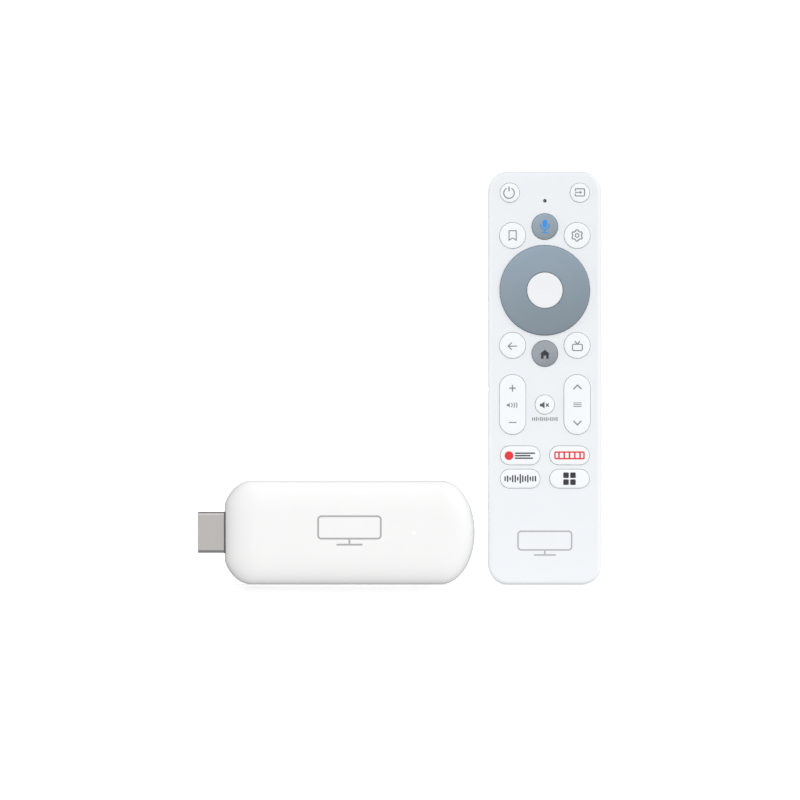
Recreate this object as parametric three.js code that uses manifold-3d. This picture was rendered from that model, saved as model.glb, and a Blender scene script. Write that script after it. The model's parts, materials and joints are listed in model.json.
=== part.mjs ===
// A streaming media player: a video stick standing on its long edge beside its hand remote.
// Each device is modelled facing the viewer: x to the right, y up, z out of its face. Millimetres.
// The two device groups are then stood up, so that in the part's frame +Z is up and +Y is away.
import * as THREE from "three";
import { mergeVertices } from "three/addons/utils/BufferGeometryUtils.js";
import Module from "manifold-3d";

const wasm = await Module();
wasm.setup();

// ---------------------------------------------------------------- driving dimensions
const STICK = {
  length: 85.6, // plug face to far end
  height: 35.4,
  zBack: -7,
  zFront: 7,
  wall: 1.5,
  overshoot: 1.95, // how far the plug end's ellipse would run on past the flat plug face
  plugEnd: 11, // half-ellipse depth at the plug end
  farEnd: 11.6, // half-ellipse depth at the far end
  frontRoll: { width: 12, depth: 4.5, power: 2.6 }, // its edge: a superellipse
  backRoll: { width: 3.5, depth: 3.5, power: 2 },
  plugEndRoll: { width: 9.2, depth: 4.5, power: 2 }, // the front edge over the plug
  parting: 0, // height of the seam between the two shells
};
const PLUG = { width: 13.9, thick: 4.45, reach: 9.1, wall: 0.35, chamfer: 1.5, inside: 3.4 };
const SOCKET = { width: 7.4, thick: 2.5, depth: 5.4, wall: 0.3 };
const REMOTE = {
  width: 38.4,
  length: 141,
  corner: 6.5,
  zBack: -9.15,
  zFront: 8.45,
  wall: 1.6,
  plate: 1.5, // thickness of the key plate
  frontRoll: 1.4,
  backSideRoll: 7,
  backEndRoll: 3.5,
  parting: 2,
};
const DEVICE_GAP = 4.7; // between the stick's far end and the remote's side
const SEAM = 0.2; // between two shells
const KEY_GAP = 0.2; // between a key and its hole
const FIT = 0.1; // between parts that are pressed or laid together
const KEY = {
  bottom: 5.75, // underside of every key
  flange: 0.35, // how far a key's flange stands out
  flangeTop: 6.75, // on keys that travel straight
  rockFlangeTop: 6.35, // on keys that rock
  top: 8.95,
  edge: 0.35, // chamfer round a key's top
};
const SEGMENTS = 26; // round a small key

// ---------------------------------------------------------------- materials
const plastic = (color, roughness = 0.5) =>
  new THREE.MeshStandardMaterial({ color, roughness, metalness: 0 });
const metal = (color, roughness = 0.35) =>
  new THREE.MeshStandardMaterial({ color, roughness, metalness: 1 });
const MATERIALS = {
  stickWhite: plastic(0xf4f4f4, 0.35),
  remoteWhite: plastic(0xf0f3f5, 0.5),
  keyWhite: plastic(0xf6f8fa, 0.45),
  keyGrey: plastic(0x909ea8, 0.45),
  plugSteel: metal(0xbab7b3, 0.32),
  black: plastic(0x17181a, 0.5),
  board: plastic(0x14402b, 0.45),
  chip: plastic(0x1d1e20, 0.6),
  tin: metal(0xc4c6c8, 0.4),
  aluminium: metal(0xcdd0d3, 0.45),
  pad: plastic(0x8fa6b8, 0.8),
  silicone: plastic(0x6d7175, 0.8),
  cell: metal(0x5b6670, 0.4),
  nickel: metal(0xc9c6bf, 0.3),
  clear: plastic(0xe8edf2, 0.15),
  infraredBlack: plastic(0x1b0d12, 0.15),
};

// ---------------------------------------------------------------- solids
function solidOf(geometry) {
  const bare = geometry.clone();
  for (const name of ["normal", "uv"]) bare.deleteAttribute(name);
  const merged = mergeVertices(bare, 1e-4);
  return new wasm.Manifold(
    new wasm.Mesh({
      numProp: 3,
      vertProperties: merged.attributes.position.array,
      triVerts: new Uint32Array(merged.index.array),
    }),
  );
}

function geometryOf(solid) {
  const { vertProperties, triVerts } = solid.getMesh();
  const geometry = new THREE.BufferGeometry();
  geometry.setAttribute("position", new THREE.BufferAttribute(vertProperties, 3));
  geometry.setIndex(new THREE.BufferAttribute(triVerts, 1));
  geometry.computeVertexNormals();
  return geometry;
}

function piece(name, solid, material) {
  const mesh = new THREE.Mesh(geometryOf(solid), material);
  mesh.name = name;
  return mesh;
}

const box = ([x0, x1], [y0, y1], [z0, z1]) =>
  solidOf(
    new THREE.BoxGeometry(x1 - x0, y1 - y0, z1 - z0).translate(
      (x0 + x1) / 2,
      (y0 + y1) / 2,
      (z0 + z1) / 2,
    ),
  );

// A round rod along z.
const rod = (radius, [z0, z1], x = 0, y = 0, segments = 16) =>
  solidOf(
    new THREE.CylinderGeometry(radius, radius, z1 - z0, segments)
      .rotateX(Math.PI / 2)
      .translate(x, y, (z0 + z1) / 2),
  );

// A turned solid whose axis is z. The profile is [radius, z], anticlockwise.
const turned = (profile, x = 0, y = 0, segments = SEGMENTS) =>
  solidOf(
    new THREE.LatheGeometry(
      profile.map(([r, z]) => new THREE.Vector2(r, z)),
      segments,
    )
      .rotateX(Math.PI / 2)
      .translate(x, y, 0),
  );

// A closed solid through rings of equal point count, each {z, ring}, from low z to high z.
function loft(levels) {
  const count = levels[0].ring.length;
  const position = [];
  const index = [];
  for (const { z, ring } of levels) for (const [x, y] of ring) position.push(x, y, z);
  for (let k = 0; k + 1 < levels.length; k++)
    for (let i = 0; i < count; i++) {
      const a = k * count + i;
      const b = k * count + ((i + 1) % count);
      index.push(a, b, b + count, a, b + count, a + count);
    }
  const cap = (level, up) => {
    const { z, ring } = levels[level];
    const centre = position.length / 3;
    const mean = (axis) => ring.reduce((sum, p) => sum + p[axis], 0) / count;
    position.push(mean(0), mean(1), z);
    for (let i = 0; i < count; i++) {
      const a = level * count + i;
      const b = level * count + ((i + 1) % count);
      index.push(centre, ...(up ? [a, b] : [b, a]));
    }
  };
  cap(0, false);
  cap(levels.length - 1, true);
  const geometry = new THREE.BufferGeometry();
  geometry.setAttribute("position", new THREE.Float32BufferAttribute(position, 3));
  geometry.setIndex(index);
  return solidOf(geometry);
}

// A rounded rectangle as a ring of points, anticlockwise.
function roundRing(halfWidth, halfHeight, corner, x = 0, y = 0, perCorner = 6) {
  const r = Math.min(corner, halfWidth, halfHeight);
  const centres = [
    [1, 1],
    [-1, 1],
    [-1, -1],
    [1, -1],
  ];
  return centres.flatMap(([sx, sy], quarter) =>
    Array.from({ length: perCorner + 1 }, (_, i) => {
      const angle = (quarter + i / perCorner) * (Math.PI / 2);
      return [
        x + sx * (halfWidth - r) + r * Math.cos(angle),
        y + sy * (halfHeight - r) + r * Math.sin(angle),
      ];
    }),
  );
}

// A flat rounded bar or plate between two heights.
const plate = (width, height, corner, x, y, [z0, z1], perCorner = 4) =>
  loft([z0, z1].map((z) => ({ z, ring: roundRing(width / 2, height / 2, corner, x, y, perCorner) })));

// How far a rounded edge has rolled in, at a distance along its depth. Power 2 is an ellipse.
const rollIn = (along, depth, width, power = 2) =>
  along <= 0 ? 0 : width * (1 - Math.max(0, 1 - (along / depth) ** power) ** (1 / power));

// Heights through a rounded edge, closer together where it turns fastest.
const edgeHeights = (start, depth, steps) =>
  Array.from({ length: steps }, (_, k) => start + depth * Math.sin(((k + 1) / steps) * (Math.PI / 2)));

// ---------------------------------------------------------------- the stick
// The stick's outline, moved in: straight sides between two half-ellipse ends, which keep their shape.
// The ellipse at the plug's end stops at the flat plug face, which has moved in by a distance of its own.
function stickRing(inset, face, perEnd = 14) {
  const half = STICK.height / 2 - inset;
  const shrink = half / (STICK.height / 2);
  const { length, farEnd, plugEnd, overshoot } = STICK;
  const ends = [
    { from: -Math.PI / 2, xAt: (cosine) => length - farEnd + farEnd * shrink * cosine },
    {
      from: Math.PI / 2,
      xAt: (cosine) => face + Math.max(0, shrink * (plugEnd - overshoot + plugEnd * cosine)),
    },
  ];
  return ends.flatMap(({ from, xAt }) =>
    Array.from({ length: perEnd + 1 }, (_, i) => {
      const angle = from + (i / perEnd) * Math.PI;
      return [xAt(Math.cos(angle)), half * Math.sin(angle)];
    }),
  );
}

// The stick's body with its walls moved in by inset, between two heights.
function stickBody(inset, [z0, z1], steps) {
  const { frontRoll, backRoll, plugEndRoll, zFront, zBack } = STICK;
  const front = zFront - frontRoll.depth;
  const back = zBack + backRoll.depth;
  const roll = (along, { width, depth, power }) =>
    rollIn(along, depth - inset, width - inset, power);
  const rollAt = (z) => roll(z - front, frontRoll) + roll(back - z, backRoll);
  const heights = [
    ...edgeHeights(-back, backRoll.depth - inset, steps).map((z) => -z),
    back,
    front,
    ...edgeHeights(front, frontRoll.depth - inset, steps),
  ].filter((z) => z > z0 && z < z1);
  const levels = [z0, ...heights.sort((a, b) => a - b), z1];
  const faceAt = (z) => inset + roll(z - front, plugEndRoll);
  return loft(levels.map((z) => ({ z, ring: stickRing(inset + rollAt(z), faceAt(z)) })));
}

// The plug's section, square at the front and chamfered at the back, as points [y, z].
function plugSection(inset) {
  const half = PLUG.width / 2 - inset;
  const deep = PLUG.thick / 2 - inset;
  const chamfer = PLUG.chamfer - inset * 0.4;
  const round = 0.35;
  return [
    [half, deep - round],
    [half - round, deep],
    [round - half, deep],
    [-half, deep - round],
    [-half, chamfer - deep],
    [chamfer - half, -deep],
    [half - chamfer, -deep],
    [half, chamfer - deep],
  ];
}

// A prism along x with a section given as points [y, z].
function prismX(section, [x0, x1]) {
  const shape = new THREE.Shape(section.map(([y, z]) => new THREE.Vector2(y, z)));
  const geometry = new THREE.ExtrudeGeometry(shape, { depth: x1 - x0, bevelEnabled: false });
  geometry.applyMatrix4(new THREE.Matrix4().set(0, 0, 1, x0, 1, 0, 0, 0, 0, 1, 0, 0, 0, 0, 0, 1));
  return solidOf(geometry);
}

const LED_X = 64.9;
const RESET = { x: 66, z: 1.7, radius: 1.2, travel: 0.25 };
const STICK_SCREWS = [
  [10, 9.5],
  [74, -9.5],
];
const socketSection = (grow) =>
  roundRing(SOCKET.width / 2 + grow, SOCKET.thick / 2 + grow, 0.6 + grow, 0, 0, 2);

function stickShells() {
  const { zFront, zBack, wall, parting } = STICK;
  const seam = SEAM / 2;
  const plugHole = prismX(plugSection(-0.25), [-1, 4]);
  const socketHole = prismX(socketSection(0.25), [STICK.length - 4, STICK.length + 1]);
  const resetHole = rod(RESET.radius + KEY_GAP, [-20, -10], RESET.x, RESET.z, 20).rotate([90, 0, 0]);
  const front = stickBody(0, [parting + seam, zFront], 6)
    .subtract(stickBody(wall, [parting - 2, zFront - wall], 4))
    .subtract(plugHole)
    .subtract(socketHole)
    .subtract(resetHole)
    .subtract(rod(0.6 + FIT, [zFront - 3, zFront + 1], LED_X));
  let rear = stickBody(0, [zBack, parting - seam], 5)
    .subtract(stickBody(wall, [zBack + wall, parting + 2], 3))
    .subtract(plugHole)
    .subtract(socketHole);
  for (const [x, y] of STICK_SCREWS)
    rear = rear
      .add(rod(1.9, [zBack + wall - 0.2, -0.7], x, y))
      .subtract(rod(0.9, [-3.8, 1], x, y, 12));
  for (let row = -2; row <= 2; row++)
    rear = rear.subtract(plate(14, 1.1, 0.55, 42, row * 3, [zBack - 1, zBack + wall + 0.5], 2));
  return [
    piece("stick_front_shell", front, MATERIALS.stickWhite),
    piece("stick_rear_shell", rear, MATERIALS.stickWhite),
  ];
}

function videoPlug() {
  const tube = prismX(plugSection(0), [-PLUG.reach, PLUG.inside]).subtract(
    prismX(plugSection(PLUG.wall), [-PLUG.reach - 1, PLUG.inside + 1]),
  );
  const insert = prismX(plugSection(PLUG.wall + FIT), [-PLUG.reach + 0.7, PLUG.inside + 0.2]).subtract(
    box([-PLUG.reach, -1], [-5.6, 5.6], [-0.6, 1.2]),
  );
  return [
    piece("video_plug_shell", tube, MATERIALS.plugSteel),
    piece("video_plug_insert", insert, MATERIALS.black),
  ];
}

function stickElectronics() {
  const boardTop = 0.5;
  const on = boardTop + FIT; // components sit just clear of the board
  let board = plate(75.5, 27, 5, 41.75, 0, [-boardTop, boardTop]);
  for (const [x, y] of STICK_SCREWS) board = board.subtract(rod(1, [-1, 1], x, y, 12));
  const can = box([20, 58], [-12, 12], [on, 2.6]).subtract(
    box([20.25, 57.75], [-11.75, 11.75], [on - 1, 2.4]),
  );
  const antenna = box([60, 78], [9, 10], [-1.4, -1.1])
    .add(box([60, 61], [9, 12.5], [-1.4, -1.1]))
    .add(box([60, 61], [12.2, 12.5], [-1.4, -on]))
    .add(box([77, 78], [9, 12.5], [-1.4, -1.1]));
  const screw = (x, y) =>
    rod(1.5, [on, 1.4], x, y, 14)
      .add(rod(0.7, [-3.5, on + 0.2], x, y, 10))
      .subtract(box([x - 1, x + 1], [y - 0.15, y + 0.15], [1.1, 2]));
  return [
    piece("stick_circuit_board", board, MATERIALS.board),
    piece("shield_can", can, MATERIALS.tin),
    piece("processor", box([26, 40], [-7, 7], [on, 1.7]), MATERIALS.chip),
    piece("memory_chip", box([43, 53], [2, 10], [on, 1.5]), MATERIALS.chip),
    piece("storage_chip", box([43, 54], [-10.5, -1], [on, 1.5]), MATERIALS.chip),
    piece("thermal_pad", box([27, 39], [-6, 6], [1.75, 2.35]), MATERIALS.pad),
    piece("heat_spreader", plate(48, 25, 2, 38, 0, [2.7, 3.4], 3), MATERIALS.aluminium),
    piece("wireless_module", box([60, 73], [-5, 7], [-2.3, -on]), MATERIALS.tin),
    piece("stick_antenna", antenna, MATERIALS.nickel),
    piece("status_led", box([LED_X - 0.8, LED_X + 0.8], [-0.4, 0.4], [on, 1.2]), MATERIALS.clear),
    piece("light_pipe", rod(0.6, [1.4, STICK.zFront - 0.05], LED_X), MATERIALS.clear),
    ...STICK_SCREWS.map(([x, y], i) => piece(`stick_board_screw_${i + 1}`, screw(x, y), MATERIALS.nickel)),
  ];
}

function powerSocket() {
  const mouth = STICK.length - 0.3;
  const back = mouth - SOCKET.depth;
  const shell = prismX(socketSection(0), [back, mouth]).subtract(
    prismX(socketSection(-SOCKET.wall), [back + 0.4, mouth + 1]),
  );
  const tongue = box([back + 0.5, mouth - 0.8], [-2.2, 2.2], [0.1, 0.6]);
  return [
    piece("power_socket_shell", shell, MATERIALS.plugSteel),
    piece("power_socket_tongue", tongue, MATERIALS.black),
  ];
}

function resetParts() {
  const { x, z, radius, travel } = RESET;
  const inner = 13.5 + travel + FIT;
  const side = STICK.height / 2;
  // Turned about y, from the switch out through the stick's upper side.
  const profile = [
    [0, inner],
    [radius, inner],
    [radius, side - 2.5],
    [radius + 0.5, side - 2.5],
    [radius + 0.5, side - 1.9],
    [radius, side - 1.9],
    [radius, side - 0.4],
    [radius - 0.25, side - 0.15],
    [0, side - 0.15],
  ];
  const geometry = new THREE.LatheGeometry(
    profile.map(([r, y]) => new THREE.Vector2(r, y)),
    20,
  ).translate(x, 0, z);
  return [
    piece("reset_button", solidOf(geometry), MATERIALS.stickWhite),
    piece("reset_switch", box([x - 1.6, x + 1.6], [11.6, 13.4], [0.6, 2.4]), MATERIALS.chip),
  ];
}

// ---------------------------------------------------------------- the remote
// The remote's body with its walls moved in by inset, between two heights.
function remoteBody(inset, [z0, z1], steps) {
  const { width, length, corner, zFront, zBack } = REMOTE;
  const front = Math.max(0.2, REMOTE.frontRoll - inset);
  const side = REMOTE.backSideRoll - inset;
  const end = REMOTE.backEndRoll - inset;
  const top = zFront - REMOTE.frontRoll;
  const sideStart = zBack + REMOTE.backSideRoll;
  const endStart = zBack + REMOTE.backEndRoll;
  const heights = [
    ...edgeHeights(-sideStart, side, steps + 2).map((z) => -z),
    sideStart,
    endStart,
    top,
    ...edgeHeights(top, front, steps),
  ].filter((z) => z > z0 + 1e-6 && z < z1 - 1e-6);
  const levels = [z0, ...heights.sort((a, b) => a - b), z1];
  return loft(
    levels.map((z) => {
      const rolledFront = rollIn(z - top, front, front);
      const inX = inset + rolledFront + rollIn(sideStart - z, side, side);
      const inY = inset + rolledFront + rollIn(endStart - z, end, end);
      const round = Math.max(1.5, corner - (inX + inY) / 2);
      return { z, ring: roundRing(width / 2 - inX, length / 2 - inY, round, 0, length / 2, 6) };
    }),
  );
}

// Every key, placed from the remote's centre line and its lower end.
const SIDE_X = 11;
const TOP_X = 11.95;
const APP_X = 8.4;
const SMALL_KEY = 3.3;
const LARGE_KEY = 4.45;
const RING = {
  y: 100.5,
  radius: 15.3,
  hole: 6.4,
  lip: 0.4, // the raised outer lip, from the rim in
  relief: [7.4, 14], // the hollow under it, in which the pivot frame lies
  reliefTop: 7.6,
  top: 9.15,
};
const FRAME = { inner: 8.2, outer: 13.2, z0: 5.85, z1: 6.9 };
const OK = { radius: 6.15, chamfer: 0.4, rim: 8.8, middle: 8.6 };
const ROUND_KEYS = {
  power_button: { x: -TOP_X, y: 133.8, radius: SMALL_KEY },
  input_button: { x: TOP_X, y: 133.8, radius: SMALL_KEY },
  assistant_button: { x: 0, y: 122.25, radius: LARGE_KEY, grey: true },
  bookmark_button: { x: -SIDE_X, y: 119.2, radius: LARGE_KEY },
  settings_button: { x: SIDE_X, y: 119.2, radius: LARGE_KEY },
  back_button: { x: -SIDE_X, y: 81.7, radius: LARGE_KEY },
  home_button: { x: 0, y: 78.9, radius: LARGE_KEY, grey: true },
  tv_button: { x: SIDE_X, y: 81.7, radius: LARGE_KEY },
  mute_button: { x: 0, y: 61.5, radius: SMALL_KEY },
};
const ROCKER = { width: 8.9, height: 20.4, y: 61.5 };
const ROCKERS = { volume_rocker: -SIDE_X, channel_rocker: SIDE_X };
const APP = { width: 13.5, height: 6.4, rows: [44.15, 36.2] };
const APP_KEYS = APP.rows.flatMap((y) => [-APP_X, APP_X].map((x) => ({ x, y })));
const MICROPHONE_Y = 131.05;

// Screw positions on the remote's board, and the cover, bay and cells at its back.
const REMOTE_SCREWS = [
  [14.8, 126.6],
  [-14.8, 24],
];
const COVER = { width: 29, y0: 9.5, y1: 72.5, inner: -7.75, corner: 3 };
const BAY = { half: 11.4, y0: 16, y1: 66.7, floor: 3.2, wall: 0.9 };
const CELL = { radius: 5.25, body: 43.3, nub: 1.2, nubRadius: 1.9, x: 5.5, z: -2.25 };

const coverPrism = (grow, [z0, z1]) =>
  plate(
    COVER.width + 2 * grow,
    COVER.y1 - COVER.y0 + 2 * grow,
    COVER.corner + grow,
    0,
    (COVER.y0 + COVER.y1) / 2,
    [z0, z1],
  );

function remoteFrontShell() {
  const { zFront, plate: plateThick, parting, wall } = REMOTE;
  const through = [zFront - plateThick - 1, zFront + 1];
  let shell = remoteBody(0, [parting, zFront], 4).subtract(
    remoteBody(wall, [parting - 1, zFront - plateThick], 2),
  );
  for (const { x, y, radius } of Object.values(ROUND_KEYS))
    shell = shell.subtract(rod(radius + KEY_GAP, through, x, y, SEGMENTS));
  shell = shell.subtract(rod(RING.radius + KEY_GAP, through, 0, RING.y, 40));
  for (const x of Object.values(ROCKERS))
    shell = shell.subtract(stadium(ROCKER.width, ROCKER.height, KEY_GAP, x, ROCKER.y, through));
  for (const { x, y } of APP_KEYS)
    shell = shell.subtract(stadium(APP.width, APP.height, KEY_GAP, x, y, through));
  shell = shell.subtract(rod(0.6, through, 0, MICROPHONE_Y, 12));
  for (const [x, y] of REMOTE_SCREWS)
    shell = shell
      .add(rod(1.6, [4.8, zFront - plateThick + 0.2], x, y, 14))
      .subtract(rod(0.8, [4, 6.7], x, y, 12));
  return piece("remote_front_shell", shell, MATERIALS.remoteWhite);
}

function remoteRearShell() {
  const { zBack, wall, parting } = REMOTE;
  const seamTop = parting - SEAM;
  const bay = [BAY.y0, BAY.y1];
  const ledge = [COVER.inner + SEAM, COVER.inner + SEAM + 1];
  const grown = BAY.half + BAY.wall;
  const window = windowPrism(0.2);
  const shell = remoteBody(0, [zBack, seamTop], 4)
    .subtract(remoteBody(wall, [zBack + wall, seamTop + 1], 3))
    .add(plate(COVER.width + 2, COVER.y1 - COVER.y0 + 2, 3, 0, (COVER.y0 + COVER.y1) / 2, ledge))
    .add(box([-grown, grown], [bay[0] - BAY.wall, bay[1] + BAY.wall], [ledge[0], BAY.floor + 0.5]))
    .subtract(box([-BAY.half, BAY.half], bay, [zBack - 1, BAY.floor]))
    .subtract(coverPrism(0.25, [zBack - 1, ledge[0]]))
    .subtract(window);
  return piece("remote_rear_shell", shell, MATERIALS.remoteWhite);
}

const windowPrism = (grow) =>
  box([-6 - grow, 6 + grow], [REMOTE.length - 1.7 - 5 * grow, REMOTE.length + 1], [-3 - grow, 0.8 + grow]);

function remoteBack() {
  const { zBack } = REMOTE;
  const outer = remoteBody(0, [zBack, REMOTE.parting], 4);
  const middle = (COVER.y0 + COVER.y1) / 2;
  let cover = outer.intersect(coverPrism(0, [zBack - 1, COVER.inner]));
  for (let k = 0; k < 4; k++)
    cover = cover.subtract(
      plate(9 - k, 0.6, 0.3, 0, middle + 22 + 1.4 * k, [zBack - 1, zBack + 0.35], 2),
    );
  return [
    piece("battery_cover", cover, MATERIALS.remoteWhite),
    piece("infrared_window", outer.intersect(windowPrism(0)), MATERIALS.infraredBlack),
  ];
}

// A key with straight sides and round ends, or its hole.
const stadiumRing = (width, height, grow, x, y) =>
  roundRing(width / 2 + grow, height / 2 + grow, Math.min(width, height) / 2 + grow, x, y, 6);
function stadium(width, height, grow, x, y, [z0, z1]) {
  return loft([z0, z1].map((z) => ({ z, ring: stadiumRing(width, height, grow, x, y) })));
}

function stadiumKey(width, height, x, y, flangeTop) {
  const at = (z, grow) => ({ z, ring: stadiumRing(width, height, grow, x, y) });
  return loft([
    at(KEY.bottom, KEY.flange),
    at(flangeTop, KEY.flange),
    at(flangeTop, 0),
    at(KEY.top - KEY.edge, 0),
    at(KEY.top, -KEY.edge),
  ]);
}

function roundKey(radius, x, y) {
  return turned(
    [
      [0, KEY.bottom],
      [radius + KEY.flange, KEY.bottom],
      [radius + KEY.flange, KEY.flangeTop],
      [radius, KEY.flangeTop],
      [radius, KEY.top - KEY.edge],
      [radius - KEY.edge, KEY.top],
      [0, KEY.top],
    ],
    x,
    y,
  );
}

function directionPad() {
  const { y, radius, hole, lip, relief, reliefTop, top } = RING;
  const ring = [
    [hole, KEY.bottom],
    [relief[0], KEY.bottom],
    [relief[0], reliefTop],
    [relief[1], reliefTop],
    [relief[1], KEY.bottom],
    [radius + KEY.flange, KEY.bottom],
    [radius + KEY.flange, KEY.rockFlangeTop],
    [radius, KEY.rockFlangeTop],
    [radius, top - lip],
    [radius - lip, top],
    [10.5, top - 0.35],
    [hole + 0.35, top - 0.3],
    [hole, top - 0.65],
    [hole, KEY.bottom],
  ];
  const frame = [
    [FRAME.inner, FRAME.z0],
    [FRAME.outer, FRAME.z0],
    [FRAME.outer, FRAME.z1],
    [FRAME.inner, FRAME.z1],
    [FRAME.inner, FRAME.z0],
  ];
  const ok = [
    [0, KEY.bottom],
    [OK.radius, KEY.bottom],
    [OK.radius, OK.rim - OK.chamfer],
    [OK.radius - OK.chamfer, OK.rim],
    [0, OK.middle],
  ];
  return [
    piece("dpad_ring", turned(ring, 0, y, 40), MATERIALS.keyGrey),
    piece("dpad_pivot_frame", turned(frame, 0, y, 24), MATERIALS.black),
    piece("ok_button", turned(ok, 0, y, 30), MATERIALS.keyWhite),
  ];
}

function keys() {
  const round = Object.entries(ROUND_KEYS).map(([name, { x, y, radius, grey }]) =>
    piece(name, roundKey(radius, x, y), grey ? MATERIALS.keyGrey : MATERIALS.keyWhite),
  );
  const rockers = Object.entries(ROCKERS).map(([name, x]) => {
    const solid = stadiumKey(ROCKER.width, ROCKER.height, x, ROCKER.y, KEY.rockFlangeTop);
    return piece(name, solid, MATERIALS.keyWhite);
  });
  const apps = APP_KEYS.map(({ x, y }, i) =>
    piece(`app_button_${i + 1}`, stadiumKey(APP.width, APP.height, x, y, KEY.flangeTop), MATERIALS.keyWhite),
  );
  return [...round, ...rockers, ...apps, ...directionPad()];
}

function remoteElectronics() {
  const boardZ = [3.95, 4.65];
  let board = plate(33.2, 131, 5, 0, REMOTE.length / 2, boardZ);
  let membrane = plate(32.6, 129, 5, 0, REMOTE.length / 2, [4.75, 5.2]);
  for (const [x, y] of REMOTE_SCREWS) {
    board = board.subtract(rod(0.9, [3, 6], x, y, 12));
    membrane = membrane.subtract(rod(1.9, [4, 6], x, y, 14));
  }
  membrane = membrane.subtract(box([-2.6, 2.6], [MICROPHONE_Y - 2, MICROPHONE_Y + 2], [4, 6]));
  const microphone = box([-1.9, 1.9], [MICROPHONE_Y - 1.4, MICROPHONE_Y + 1.4], [4.75, 5.8]);
  const lead = (x) =>
    box([x - 0.25, x + 0.25], [130, 132.2], [-1.25, -0.75]).add(
      box([x - 0.25, x + 0.25], [130, 130.5], [-1.25, 3.8]),
    );
  const led = turned(
    [
      [0, 132],
      [1.8, 132],
      [1.8, 133],
      [1.5, 133],
      [1.5, 137],
      [1.1, 138],
      [0, 138.5],
    ],
    0,
    0,
    16,
  )
    .rotate([-90, 0, 0])
    .translate([0, 0, -1])
    .add(lead(-0.9))
    .add(lead(0.9));
  const screw = (x, y) =>
    rod(1.4, [3, 3.85], x, y, 14)
      .add(rod(0.7, [3.5, 6.5], x, y, 10))
      .subtract(box([x - 1, x + 1], [y - 0.15, y + 0.15], [2, 3.3]));
  return [
    piece("remote_circuit_board", board, MATERIALS.board),
    piece("keypad_membrane", membrane, MATERIALS.silicone),
    piece("microphone", microphone, MATERIALS.tin),
    piece("infrared_led", led, MATERIALS.clear),
    piece("remote_radio_module", box([-6, 6], [92, 107], [1.9, 3.85]), MATERIALS.tin),
    ...REMOTE_SCREWS.map(([x, y], i) => piece(`remote_board_screw_${i + 1}`, screw(x, y), MATERIALS.nickel)),
  ];
}

// The line of a coil spring about x, z = CELL.z, from y0 to y1.
class CoilCurve extends THREE.Curve {
  constructor(x, y0, y1, turns, radius) {
    super();
    Object.assign(this, { x, y0, y1, turns, radius });
  }
  getPoint(t, target = new THREE.Vector3()) {
    const angle = t * this.turns * 2 * Math.PI;
    return target.set(
      this.x + this.radius * Math.cos(angle),
      this.y0 + (this.y1 - this.y0) * t,
      CELL.z + this.radius * Math.sin(angle),
    );
  }
}

function coil(x, y0, y1) {
  const wire = 0.35;
  const turns = 3;
  const sides = 6;
  const corners = Array.from({ length: sides }, (_, k) => (k / sides) * 2 * Math.PI).map(
    (angle) => new THREE.Vector2(wire * Math.cos(angle), wire * Math.sin(angle)),
  );
  const section = new THREE.Shape(corners);
  const path = new CoilCurve(x, y0, y1, turns, 3);
  return solidOf(
    new THREE.ExtrudeGeometry(section, { extrudePath: path, steps: turns * 10, bevelEnabled: false }),
  );
}

function batteries() {
  const { radius, body, nub, nubRadius, x, z } = CELL;
  const profile = [
    [0, 0],
    [radius - 0.3, 0],
    [radius, 0.3],
    [radius, body - 0.4],
    [radius - 0.4, body],
    [nubRadius, body],
    [nubRadius, body + nub],
    [0, body + nub],
  ];
  const length = body + nub;
  const plateZ = [-6, 1.6];
  const plateThick = 0.35;
  const low = BAY.y0 + 0.3;
  const high = BAY.y1 - 0.3;
  const leftFrom = high - plateThick - FIT - length; // nub up, against the upper plate
  const rightFrom = low + plateThick + FIT; // nub down, against the lower plate
  const upright = turned(profile, 0, 0, 24).rotate([-90, 0, 0]);
  const left = upright.translate([-x, leftFrom, z]);
  const right = upright.rotate([180, 0, 0]).translate([x, rightFrom + length, z]);
  const strip = (x0, x1, y) => box([x0, x1], [y, y + plateThick], plateZ);
  const bridge = strip(-10.5, 10.5, low).add(coil(-x, low + 0.2, leftFrom - 0.5));
  const negative = strip(0.6, 10.5, high - plateThick).add(
    coil(x, high - 0.2, rightFrom + length + 0.5),
  );
  return [
    piece("battery_left", left, MATERIALS.cell),
    piece("battery_right", right, MATERIALS.cell),
    piece("battery_bridge_contact", bridge, MATERIALS.nickel),
    piece("battery_negative_contact", negative, MATERIALS.nickel),
    piece("battery_positive_contact", strip(-10.5, -0.6, high - plateThick), MATERIALS.nickel),
  ];
}

// ---------------------------------------------------------------- the set
// Stands a device up: its own y becomes the part's +Z, and its face looks along -Y.
function stood(meshes, x, z) {
  const group = new THREE.Group();
  group.add(...meshes);
  group.rotation.x = Math.PI / 2;
  group.position.set(x, 0, z);
  return group;
}

const overall = PLUG.reach + STICK.length + DEVICE_GAP + REMOTE.width;
const stick = stood(
  [...stickShells(), ...videoPlug(), ...stickElectronics(), ...powerSocket(), ...resetParts()],
  PLUG.reach - overall / 2,
  STICK.height / 2,
);
const remote = stood(
  [
    remoteFrontShell(),
    remoteRearShell(),
    ...remoteBack(),
    ...keys(),
    ...remoteElectronics(),
    ...batteries(),
  ],
  (overall - REMOTE.width) / 2,
  0,
);
const player = new THREE.Group();
player.add(stick, remote);
export default player;
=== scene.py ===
import json
import math
from collections import namedtuple

import bmesh
import bpy
from mathutils import Matrix, Vector

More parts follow.
